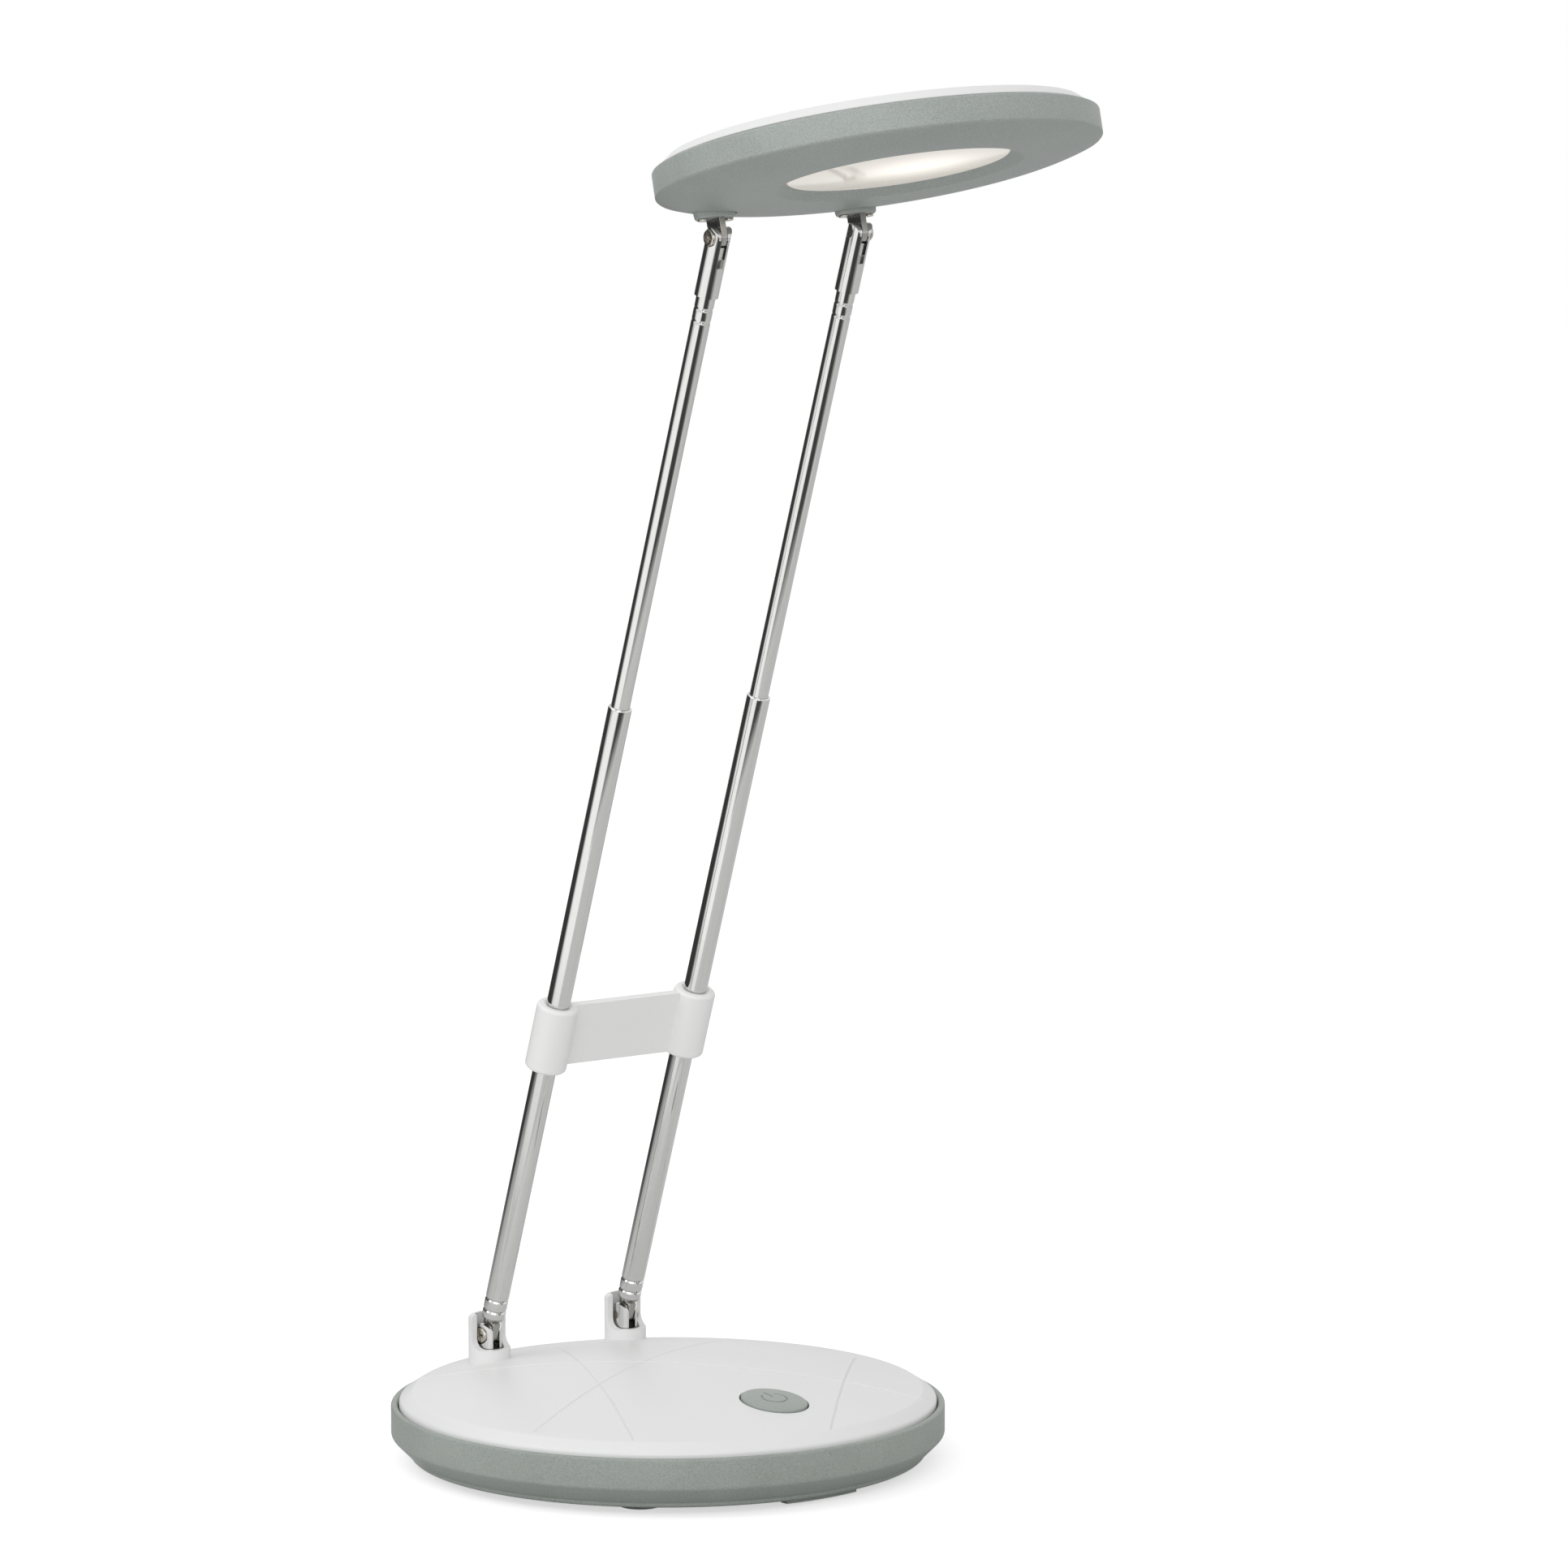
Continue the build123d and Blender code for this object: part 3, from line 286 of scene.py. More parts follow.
# the part that all finishes share: colour and roughness from a group
def ground(name, group, look):
    material = bpy.data.materials.new(name)
    material.use_nodes = True
    tree = material.node_tree
    shader = tree.nodes["Principled BSDF"]
    effect = tree.nodes.new("ShaderNodeGroup")
    effect.node_tree = group
    effect.inputs["Colour"].default_value = (*look["colour"], 1)
    effect.inputs["Spread"].default_value = look["spread"]
    effect.inputs["Fineness"].default_value = look["fineness"]
    tree.links.new(effect.outputs["Colour"], shader.inputs["Base Color"])
    rough = mapTo(tree, effect.outputs["Mask"], gloss["low"], gloss["high"], *look["rough"])
    tree.links.new(rough, shader.inputs["Roughness"])
    return material, tree, shader, effect


def finish(name, group, look):
    material, tree, shader, effect = ground(name, group, look)
    bump = addNode(tree, "ShaderNodeBump", {"Strength": look["bump"], "Distance": look["depth"] * mm})
    tree.links.new(effect.outputs["Height"], bump.inputs["Height"])
    tree.links.new(bump.outputs[0], shader.inputs["Normal"])
    shader.inputs["Metallic"].default_value = look.get("metal", 0.0)
    shader.inputs["Specular IOR Level"].default_value = gloss["specular"]
    return material


finishes = dict(
    base_grey=dict(
        colour=(0.325, 0.354, 0.328), spread=0.2, fineness=2800, rough=(0.44, 0.54),
        bump=0.35, depth=0.03,
    ),
    head_grey=dict(
        colour=(0.354, 0.385, 0.366), spread=0.2, fineness=2800, rough=(0.44, 0.54),
        bump=0.35, depth=0.03,
    ),
    white_shell=dict(
        colour=(0.81, 0.815, 0.81), spread=0.008, fineness=1800, rough=(0.36, 0.44),
        bump=0.08, depth=0.02,
    ),
    # the clip's finish is the shells' white painted a shade lighter, which is painted light on the clip
    clip_white_painted_light=dict(
        colour=(0.865, 0.87, 0.86), spread=0.008, fineness=1800, rough=(0.36, 0.44),
        bump=0.08, depth=0.02,
    ),
    button_grey=dict(
        colour=(0.335, 0.366, 0.345), spread=0.05, fineness=2600, rough=(0.36, 0.46),
        bump=0.25, depth=0.025,
    ),
    foot_rubber=dict(
        colour=(0.30, 0.32, 0.31), spread=0.05, fineness=1500, rough=(0.6, 0.75),
        bump=0.3, depth=0.04,
    ),
    ballast_iron=dict(
        colour=(0.06, 0.06, 0.06), spread=0.2, fineness=700, rough=(0.6, 0.8),
        bump=0.6, depth=0.2,
    ),
    cell_can=dict(
        colour=(0.10, 0.13, 0.12), spread=0.05, fineness=900, rough=(0.3, 0.4),
        bump=0.05, depth=0.02,
    ),
    board_laminate=dict(
        colour=(0.02, 0.09, 0.04), spread=0.12, fineness=1600, rough=(0.35, 0.5),
        bump=0.15, depth=0.02,
    ),
    switch_body=dict(
        colour=(0.02, 0.02, 0.02), spread=0.1, fineness=1600, rough=(0.35, 0.45),
        bump=0.1, depth=0.02,
    ),
    wire_jacket=dict(
        colour=(0.35, 0.03, 0.02), spread=0.06, fineness=1200, rough=(0.4, 0.5),
        bump=0.1, depth=0.02,
    ),
    led_yellow=dict(
        colour=(0.85, 0.72, 0.22), spread=0.04, fineness=1500, rough=(0.25, 0.35),
        bump=0.1, depth=0.02,
    ),
)
metals = dict(
    chrome_tube=dict(colour=(0.67, 0.67, 0.66), spread=0.03, fineness=900, rough=(0.05, 0.09), bump=0.05),
    plug_steel=dict(colour=(0.40, 0.39, 0.37), spread=0.06, fineness=1400, rough=(0.16, 0.26), bump=0.1),
    screw_steel=dict(colour=(0.52, 0.49, 0.44), spread=0.06, fineness=1600, rough=(0.2, 0.3), bump=0.1),
    spring_brass=dict(colour=(0.70, 0.52, 0.24), spread=0.05, fineness=1200, rough=(0.22, 0.32), bump=0.1),
)
stuff = {name: finish(name, mouldGrain, look) for name, look in finishes.items()}
for name, look in metals.items():
    stuff[name] = finish(name, drawnMetal, dict(look, depth=0.01, metal=1.0))


# frosted lens: a warm glow that is brightest over the light board's middle
def frostedGlow():
    look = dict(
        colour=(0.46, 0.44, 0.42), spread=0.015, fineness=1400, rough=(0.1, 0.16),
        warm=(0.72, 0.67, 0.60), pale=(0.35, 0.325, 0.29), reach=34.0, slide=6.0, warmFrom=0.7,
    )
    material, tree, shader, _ = ground("frosted_lens", mouldGrain, look)
    coords = addNode(tree, "ShaderNodeTexCoord")
    centred = addNode(tree, "ShaderNodeMapping", vector_type="TEXTURE")
    slide = Vector((look["slide"] * mm, 0, 0))
    centred.inputs["Location"].default_value = lensMiddle.to_translation() + slide
    centred.inputs["Rotation"].default_value = lensMiddle.to_euler()
    centred.inputs["Scale"].default_value = [look["reach"] * mm] * 3
    tree.links.new(coords.outputs["Object"], centred.inputs["Vector"])
    ball = addNode(tree, "ShaderNodeTexGradient", gradient_type="QUADRATIC_SPHERE")
    tree.links.new(centred.outputs[0], ball.inputs[0])
    ramp = addNode(tree, "ShaderNodeValToRGB")
    ramp.color_ramp.interpolation = "EASE"
    ramp.color_ramp.elements[0].color = (*look["pale"], 1)
    ramp.color_ramp.elements[1].color = (*look["warm"], 1)
    ramp.color_ramp.elements[1].position = look["warmFrom"]
    tree.links.new(ball.outputs[1], ramp.inputs[0])
    tree.links.new(ramp.outputs[0], shader.inputs["Emission Color"])
    shader.inputs["Emission Strength"].default_value = 1.0
    return material


stuff["frosted_lens"] = frostedGlow()
slotOf = {item["node"]: item["material_slot"] for item in frame["record"]["subparts"]}
for node, solid in nodes.items():
    solid.data.materials.clear()
    solid.data.materials.append(stuff[slotOf[node]])
print("materials ready:", len(stuff))

# grey tray: low bowl with a sloped foot, an opening for the battery door and a front ledge
tray = dict(
    rim=70.0, rimTop=15.1, wallFoot=7.5, stepOut=66.1, tier=65.4, stepTop=3.6, lift=2.0,
    inner=68.25, innerFoot=8.225, floorOut=64.025, floorTop=4.0,
    rimRound=0.6, wallRound=1.2, tierRound=1.0, stepRound=0.3, steps=192,
    doorX=25.8, doorY=22.65, cutLow=1.0, cutTop=5.0, earX=37.8, earY=6.5, earTop=3.0, earLap=1.0,
    ledgeWide=22.0, ledgeBack=-58.5, ledgeFront=-62.9, ledgeLow=0.8, ledgeTop=3.0, ledgeRound=1.5,
    ledgeSpare=3.0, trimTop=6.0,
)
bm = bmesh.new()
line = profile(bm, [
    (0, tray["lift"]), (tray["tier"], tray["lift"]), (tray["tier"], tray["stepTop"]),
    (tray["stepOut"], tray["stepTop"]), (tray["rim"], tray["wallFoot"]), (tray["rim"], tray["rimTop"]),
    (tray["inner"], tray["rimTop"]), (tray["inner"], tray["innerFoot"]),
    (tray["floorOut"], tray["floorTop"]), (0, tray["floorTop"]),
])
turns = (("tierRound", line[1]), ("stepRound", line[2]), ("stepRound", line[3]), ("wallRound", line[4]))
for name, vert in turns + (("rimRound", line[5]), ("rimRound", line[6])):
    rounded(bm, vert, tray[name])
spun(bm, tray["steps"])
trayShell = asObject(bm, "trayShell")
bm = bmesh.new()
block(bm, (-tray["doorX"], -tray["doorY"], tray["cutLow"]), (tray["doorX"], tray["doorY"], tray["cutTop"]))
carve(trayShell, asObject(bm, "doorCut"))
bm = bmesh.new()
block(
    bm, (tray["doorX"] - tray["earLap"], -tray["earY"], tray["cutLow"]),
    (tray["earX"], tray["earY"], tray["earTop"]),
)
carve(trayShell, asObject(bm, "earCut"))
bm = bmesh.new()
half = tray["ledgeWide"] / 2
block(
    bm, (-half, tray["ledgeFront"] - tray["ledgeSpare"], tray["ledgeLow"]),
    (half, tray["ledgeBack"], tray["ledgeTop"]),
)
upright = [edge for edge in bm.edges if abs(edge.verts[0].co.z - edge.verts[1].co.z) > mm]
bmesh.ops.bevel(
    bm, geom=upright, offset=tray["ledgeRound"] * mm, affect="EDGES", segments=4, profile=0.5, material=-1,
)
ledge = asObject(bm, "ledge")
bm = bmesh.new()
peg(bm, -tray["ledgeFront"], 0, tray["trimTop"], tray["steps"])
carve(ledge, asObject(bm, "ledgeTrim"), "INTERSECT")
carve(trayShell, ledge, "UNION")
dress(trayShell, stuff["base_grey"], "base", ["base_tray"], sharp=28)
print("tray done")

# white domed cover with its fine lines, the two scooped hinge posts and the button opening
cover = dict(
    edgeOut=64.55, edgeDrop=2.2, skirtFoot=12.1, wall=2.0, innerDrop=1.0, edgeRound=1.0,
    steps=192, rings=40, innerRings=12,
    postRadius=5.4, postFoot=17.0, postTop=32.8, postRound=1.2, postLip=24.1, postSteps=72,
    postBore=3.7, boreSteps=64, seat=18.6, scoopY=0.4, scoopRound=3.0,
    buttonX=8.4, buttonY=9.3, buttonReach=6.0, buttonSteps=96,
)
bm = bmesh.new()
crown = bm.verts.new((0, 0, lamp["domeTop"] * mm))
swing = math.degrees(math.asin(cover["edgeOut"] / domeRadius))
edgeVert = arcFrom(bm, crown, (0, domeCentre), swing, cover["rings"])
innerRadius = domeRadius - cover["wall"]
innerOut = cover["edgeOut"] - cover["wall"]
innerUp = domeCentre + math.sqrt(innerRadius ** 2 - innerOut ** 2)
innerSide = lamp["coverRadius"] - cover["wall"]
sideTop = domeHeight(cover["edgeOut"]) - cover["edgeDrop"]
line = profile(bm, [
    (lamp["coverRadius"], sideTop), (lamp["coverRadius"], cover["skirtFoot"]),
    (innerSide, cover["skirtFoot"]), (innerSide, sideTop - cover["innerDrop"]), (innerOut, innerUp),
])
bm.edges.new((edgeVert, line[0]))
innerSwing = math.degrees(math.asin(innerOut / innerRadius))
arcFrom(bm, line[-1], (0, domeCentre), -innerSwing, cover["innerRings"])
rounded(bm, edgeVert, cover["edgeRound"])
rounded(bm, line[0], cover["edgeRound"])
spun(bm, cover["steps"])
coverShell = asObject(bm, "coverShell")
for _, side in sides:
    stand = place(side * lamp["armX"], lamp["pivotY"], 0)
    bm = bmesh.new()
    line = profile(bm, [
        (0, cover["postFoot"]), (cover["postRadius"], cover["postFoot"]),
        (cover["postRadius"], cover["postTop"]), (0, cover["postTop"]),
    ])
    rounded(bm, line[2], cover["postRound"])
    spun(bm, cover["postSteps"])
    post = asObject(bm, "post")
    bm = bmesh.new()
    wide = 2 * cover["postRadius"]
    block(bm, (-wide, -wide, cover["postLip"]), (wide, cover["scoopY"], 2 * cover["postTop"]))
    inner = [
        edge for edge in bm.edges
        if all(vert.co.z < cover["postTop"] * mm and vert.co.y > 0 for vert in edge.verts)
    ]
    bmesh.ops.bevel(
        bm, geom=inner, offset=cover["scoopRound"] * mm, affect="EDGES",
        segments=8, profile=0.5, material=-1,
    )
    carve(post, asObject(bm, "scoop"))
    post.data.transform(stand)
    carve(coverShell, post, "UNION")
    bm = bmesh.new()
    peg(bm, cover["postBore"], cover["seat"], 2 * cover["postTop"], cover["boreSteps"], stand)
    carve(coverShell, asObject(bm, "well"))
bm = bmesh.new()
peg(bm, 1, -cover["buttonReach"], cover["buttonReach"], cover["buttonSteps"])
settle(bm, buttonFrame @ Matrix.Diagonal((cover["buttonX"], cover["buttonY"], 1, 1)))
carve(coverShell, asObject(bm, "opening"))

# the fine lines are cut along the dome, each between two points given as an angle and an inset
lines = dict(
    width=0.65, depth=0.34, steps=64,
    ends=(
        ((131.9, 2.1), (-49.5, 2.4)), ((90.0, 19.4), (-135.3, 4.7)),
        ((33.7, 24.7), (-159.0, 5.3)), ((-5.5, 10.8), (-89.3, 3.4)),
    ),
)


def lineCut(first, last):
    spots = []
    for angle, inset in (first, last):
        out = lamp["coverRadius"] - inset
        spots.append(Vector((out * math.cos(math.radians(angle)), out * math.sin(math.radians(angle)), 0)))
    along = (spots[1] - spots[0]).normalized()
    across = Vector((-along.y, along.x, 0))
    middle = across * spots[0].dot(across) + Vector((0, 0, domeCentre))
    low = math.sqrt((domeRadius - lines["depth"]) ** 2 - spots[0].dot(across) ** 2)
    turns = [math.asin(spot.dot(along) / low) for spot in spots]
    heading = along * math.sin(turns[0]) + Vector((0, 0, math.cos(turns[0])))
    bm = bmesh.new()
    # a V: its point at the line's depth, its arms wider the higher they stand
    high = low + 2 * lines["depth"]
    marks = ((0, low), (lines["width"], high), (-lines["width"], high))
    bm.faces.new([bm.verts.new((middle + heading * out + across * shift) * mm) for shift, out in marks])
    bmesh.ops.spin(
        bm, geom=bm.verts[:] + bm.edges[:] + bm.faces[:], cent=middle * mm,
        axis=along.cross(Vector((0, 0, -1))), dvec=(0, 0, 0), angle=turns[1] - turns[0],
        steps=lines["steps"], use_merge=False, use_duplicate=False,
    )
    closed(bm)
    return asObject(bm, "lineCut")


for first, last in lines["ends"]:
    carve(coverShell, lineCut(first, last))
dress(coverShell, stuff["white_shell"], "base", ["base_cover"], sharp=28)
print("cover done")

# oval push button with an engraved power sign
button = dict(
    halfX=7.95, halfY=8.85, proud=0.9, crown=60.0, round=0.4, foot=-3.6, steps=96, rings=10,
    signRadius=3.15, signGap=34, signWide=0.4, signDepth=0.22, signReach=2.0, signSteps=56,
    barLow=0.6, barHigh=4.4, floorOut=12.0, floorLow=-6.0,
)
stretch = Matrix.Diagonal((1, button["halfY"] / button["halfX"], 1, 1))
bm = bmesh.new()
top = bm.verts.new((0, 0, button["proud"] * mm))
swing = math.degrees(math.asin(button["halfX"] / button["crown"]))
edgeVert = arcFrom(bm, top, (0, button["proud"] - button["crown"]), swing, button["rings"])
line = profile(bm, [(button["halfX"], button["foot"]), (0, button["foot"])])
bm.edges.new((edgeVert, line[0]))
rounded(bm, edgeVert, button["round"], segments=4)
spun(bm, button["steps"])
settle(bm, stretch)
buttonCap = asObject(bm, "buttonCap")
bm = bmesh.new()
half, reach = button["signWide"] / 2, button["signReach"]
near, far = button["signRadius"] - half, button["signRadius"] + half
bm.faces.new(profile(bm, [(near, -reach), (far, -reach), (far, reach), (near, reach)]))
settle(bm, Matrix.Rotation(math.radians(90 + button["signGap"]), 4, "Z"))
bmesh.ops.spin(
    bm, geom=bm.verts[:] + bm.edges[:] + bm.faces[:], cent=(0, 0, 0), axis=(0, 0, 1), dvec=(0, 0, 0),
    angle=math.radians(360 - 2 * button["signGap"]), steps=button["signSteps"],
    use_merge=False, use_duplicate=False,
)
block(bm, (-half, button["barLow"], -reach), (half, button["barHigh"], reach))
closed(bm)
sign = asObject(bm, "sign")
# the sign is cut to an even depth under the crowned top
bm = bmesh.new()
floorUp = button["proud"] - button["signDepth"]
floorVert = bm.verts.new((0, 0, floorUp * mm))
swing = math.degrees(math.asin(button["floorOut"] / button["crown"]))
outer = arcFrom(bm, floorVert, (0, floorUp - button["crown"]), swing, button["rings"])
line = profile(bm, [(button["floorOut"], button["floorLow"]), (0, button["floorLow"])])
bm.edges.new((outer, line[0]))
spun(bm, button["steps"])
settle(bm, stretch)
carve(sign, asObject(bm, "signFloor"))
carve(buttonCap, sign)
buttonCap.data.transform(buttonFrame)
dress(buttonCap, stuff["button_grey"], "power_button", ["power_button"], sharp=28)
print("button done")

# chrome tubes: the lower ones have two crimped rings over the hinge plugs, the upper ones two rolled rings
lowTubes = dict(
    radius=3.0, bore=2.5, foot=5.2, footRound=0.3, mouth=175.4, mouthRound=0.4, neck=2.45, neckDrop=1.0,
    rings=(7.4, 10.5), ringDeep=0.32, ringHalf=0.42, ringRound=0.12, steps=72,
    stampCount=4, stampTurn=-97.6, stampRadius=0.5, stampFloor=2.2, stampSpare=1.0, stampSteps=24,
)
highTubes = dict(
    radius=2.4, bore=2.0, foot=140.4, top=290.8,
    rings=(277.4, 280.6), ringDeep=0.14, ringHalf=0.5, ringRound=0.5, steps=72,
    dimpleCount=4, dimpleTurn=-127.6, dimpleRadius=0.6, dimpleDeep=0.26,
)


def tubeOutline(tube):
    points = [(tube["bore"], tube["foot"]), (tube["radius"], tube["foot"])]
    for ring in tube["rings"]:
        points += [
            (tube["radius"], ring - tube["ringHalf"]), (tube["radius"] - tube["ringDeep"], ring),
            (tube["radius"], ring + tube["ringHalf"]),
        ]
    return points


# turns about the tube, for marks at equal steps
def roundTube(first, count):
    return [Matrix.Rotation(math.radians(first) + math.tau * step / count, 4, "Z") for step in range(count)]


for name, side in sides:
    stand = armFrame @ place(side * lamp["armX"], 0, 0)
    tube = lowTubes
    bm = bmesh.new()
    neckUp = tube["mouth"] - tube["neckDrop"]
    line = profile(bm, tubeOutline(tube) + [
        (tube["radius"], tube["mouth"]), (tube["neck"], tube["mouth"]), (tube["neck"], neckUp),
        (tube["bore"], neckUp), (tube["bore"], tube["foot"]),
    ])
    footVert, ringVerts, mouthVert = line[1], line[2:8], line[8]
    rounded(bm, footVert, tube["footRound"], segments=3)
    rounded(bm, mouthVert, tube["mouthRound"], segments=4)
    for vert in ringVerts:
        rounded(bm, vert, tube["ringRound"], segments=3)
    spun(bm, tube["steps"])
    lowTube = asObject(bm, "lowerTube_" + name)
    # punch marks round both rings, through to the plug
    bm = bmesh.new()
    for spot in tube["rings"]:
        for turned in roundTube(tube["stampTurn"], tube["stampCount"]):
            outward = turned @ place(0, 0, spot) @ Matrix.Rotation(math.radians(90), 4, "Y")
            reach = tube["radius"] + tube["stampSpare"]
            peg(bm, tube["stampRadius"], tube["stampFloor"], reach, tube["stampSteps"], outward)
    carve(lowTube, asObject(bm, "stamps"))
    lowTube.data.transform(stand)
    dress(lowTube, stuff["chrome_tube"], "lower_arms", ["lower_tube_" + name], sharp=40)

    tube = highTubes
    bm = bmesh.new()
    line = profile(bm, tubeOutline(tube) + [
        (tube["radius"], tube["top"]), (tube["bore"], tube["top"]), (tube["bore"], tube["foot"]),
    ])
    for vert in line[2:8]:
        rounded(bm, vert, tube["ringRound"], segments=3)
    spun(bm, tube["steps"])
    highTube = asObject(bm, "upperTube_" + name)
    bm = bmesh.new()
    out = tube["radius"] + tube["dimpleRadius"] - tube["dimpleDeep"]
    for spot in tube["rings"]:
        for turned in roundTube(tube["dimpleTurn"], tube["dimpleCount"]):
            ball = turned @ place(out, 0, spot)
            bmesh.ops.create_icosphere(bm, subdivisions=3, radius=tube["dimpleRadius"] * mm, matrix=ball)
    carve(highTube, asObject(bm, "dimples"))
    highTube.data.transform(stand)
    dress(highTube, stuff["chrome_tube"], "upper_arms", ["upper_tube_" + name], sharp=30)
print("tubes done")

# hinge parts are the solids with soft edges, rounder knuckles and deeper cross recesses
hinges = dict(
    base_clevis=("chrome_tube", "base", 0.12), base_hinge_screw=("screw_steel", "base", 0.1),
    lower_end_plug=("plug_steel", "lower_arms", 0.12), head_knuckle=("chrome_tube", "upper_arms", 0.15),
    head_hinge_screw=("screw_steel", "upper_arms", 0.1), head_tongue=("plug_steel", "head", 0.1),
)
hingeTrim = dict(
    knuckleTop=2.55, topSteps=64, reach=8.0, low=-60.0, crossLong=2.7, crossWide=0.75, crossDeep=0.8,
)


# the cheeks end in a round about the hinge's pin
def roundTop(piece, matrix):
    bm = bmesh.new()
    reach = hingeTrim["reach"]
    block(bm, (-reach, -reach, hingeTrim["low"]), (reach, reach, 0))
    settle(bm, matrix)
    tool = asObject(bm, "below")
    bm = bmesh.new()
    peg(bm, hingeTrim["knuckleTop"], -reach, reach, hingeTrim["topSteps"])
    settle(bm, matrix @ Matrix.Rotation(math.radians(90), 4, "Y"))
    carve(tool, asObject(bm, "about"), "UNION")
    carve(piece, tool, "INTERSECT")


# a cross recess in the screw's head, which is the outer end of the piece
def crossCut(piece, side):
    outer = max(piece.data.vertices, key=lambda vert: vert.co.x * side).co.x / mm
    inner = outer - side * hingeTrim["crossDeep"]
    middle = []
    for axis in (1, 2):
        spots = [vert.co[axis] for vert in piece.data.vertices]
        middle.append((min(spots) + max(spots)) / 2 / mm)
    arms = (hingeTrim["crossWide"], hingeTrim["crossLong"])
    for wide, tall in (arms, arms[::-1]):
        bm = bmesh.new()
        block(
            bm, (min(inner, outer + side), middle[0] - wide / 2, middle[1] - tall / 2),
            (max(inner, outer + side), middle[0] + wide / 2, middle[1] + tall / 2),
        )
        carve(piece, asObject(bm, "slot"))


for node, (slotName, body, soft) in hinges.items():
    for name, side in sides:
        piece = skinOf(node + "_" + name, "hinge_" + node + "_" + name)
        if node == "head_knuckle":
            roundTop(piece, armFrame @ place(side * lamp["armX"], 0, lamp["headReach"]))
        if node.endswith("screw"):
            crossCut(piece, side)
        dress(piece, stuff[slotName], body, [node + "_" + name], sharp=34, soften=soft)
small = skinOf("battery_door_screw", "small_battery_door_screw")
dress(small, stuff["screw_steel"], "base", ["battery_door_screw"], sharp=34, soften=0.1)

# thin oval flanges under the head, each with a slot for its tongue and two screws
flange = dict(
    halfX=5.7, halfY=4.5, low=4.5, top=6.9, lip=0.35, edge=0.7, steps=72,
    slotX=0.9, slotY=2.65, slotSpare=1.0, solidLow=3.8,
)
for name, side in sides:
    bm = bmesh.new()
    line = profile(bm, [
        (0, flange["low"]), (flange["halfX"] - flange["lip"], flange["low"]),
        (flange["halfX"], flange["top"]), (0, flange["top"]),
    ])
    rounded(bm, line[1], flange["edge"])
    spun(bm, flange["steps"])
    settle(bm, Matrix.Diagonal((1, flange["halfY"] / flange["halfX"], 1, 1)))
    plate = asObject(bm, "flange_" + name)
    bm = bmesh.new()
    slotLow, slotTop = flange["low"] - flange["slotSpare"], flange["top"] + flange["slotSpare"]
    block(bm, (-flange["slotX"], -flange["slotY"], slotLow), (flange["slotX"], flange["slotY"], slotTop))
    carve(plate, asObject(bm, "slot"))
    plate.data.transform(headFrame @ place(side * lamp["armX"], 0, 0))
    dress(plate, stuff["head_grey"], "head", ["hinge_flange_" + name], sharp=30)
# their screws move up with the plates' undersides
heads = skinOf("flange_screws", "flangeScrews")
lift = headFrame.to_3x3() @ Vector((0, 0, flange["low"] - flange["solidLow"])) * mm
heads.data.transform(Matrix.Translation(lift))
dress(heads, stuff["screw_steel"], "head", ["flange_screws"], sharp=34, soften=0.08)
print("hinges done")

# white clip that ties the lower tubes, with thin rings that close its bores on them
clip = dict(foot=76.1, high=17.6, ringIn=3.04, ringOut=3.8, ringSet=0.3, ringThick=0.6, steps=64)
clipSkin = skinOf("bridge_clip", "clipSkin")
lowRing = clip["foot"] + clip["ringSet"]
highRing = clip["foot"] + clip["high"] - clip["ringSet"] - clip["ringThick"]
inner, outer = clip["ringIn"], clip["ringOut"]
for _, side in sides:
    for low in (lowRing, highRing):
        bm = bmesh.new()
        top = low + clip["ringThick"]
        corners = [(inner, low), (outer, low), (outer, top), (inner, top)]
        profile(bm, corners + corners[:1])
        spun(bm, clip["steps"])
        settle(bm, armFrame @ place(side * lamp["armX"], 0, 0))
        carve(clipSkin, asObject(bm, "ring"), "UNION")
# the clip wears the shells' white painted a shade lighter, as painted light
dress(clipSkin, stuff["clip_white_painted_light"], "bridge_clip", ["bridge_clip"], sharp=34, soften=0.2)
print("clip done")

# head: grey bowl with the lens opening, white lid and the frosted lens
head = dict(
    radius=53.92, underside=5.4, rimTop=15.0, wall=1.72, floor=2.0, flat=37.0, belly=46.7, bellySteps=14,
    cornerRound=0.45, rimRound=0.6, innerKnee=2.2, steps=192,
    lensRadius=26.9, lensRecess=3.1, lensDepth=1.7, cutBelow=1.0, cutAbove=4.0, lensSteps=160,
    flangeX=5.85, flangeY=4.65, flangeTop=6.9, flangeReach=3.0, flangeSteps=64,
)
bm = bmesh.new()
knee = head["radius"] - head["cornerRound"]
swing = math.degrees(math.asin((knee - head["flat"]) / head["belly"]))
line = profile(bm, [(0, head["underside"]), (head["flat"], head["underside"])])
bellyCentre = (head["flat"], head["underside"] + head["belly"])
kneeVert = arcFrom(bm, line[1], bellyCentre, -swing, head["bellySteps"])
kneeRise = head["belly"] - math.sqrt(head["belly"] ** 2 - (knee - head["flat"]) ** 2)
kneeUp = head["underside"] + kneeRise
innerWall, bowlFloor = head["radius"] - head["wall"], head["underside"] + head["floor"]
wallLine = profile(bm, [
    (head["radius"], kneeUp + head["cornerRound"]), (head["radius"], head["rimTop"]),
    (innerWall, head["rimTop"]), (innerWall, kneeUp + head["innerKnee"]),
    (head["flat"], bowlFloor), (0, bowlFloor),
])
bm.edges.new((kneeVert, wallLine[0]))
rounded(bm, wallLine[1], head["rimRound"], segments=4)
rounded(bm, wallLine[2], head["rimRound"], segments=4)
rounded(bm, wallLine[0], head["cornerRound"], segments=6)
rounded(bm, kneeVert, head["cornerRound"], segments=6)
spun(bm, head["steps"])
settle(bm, headMiddle)
headShell = asObject(bm, "headShell")
bm = bmesh.new()
outer = head["lensRadius"] + head["lensRecess"]
under, lensUp = head["underside"], head["underside"] + head["lensDepth"]
cutLow, cutTop = under - head["cutBelow"], under + head["cutAbove"]
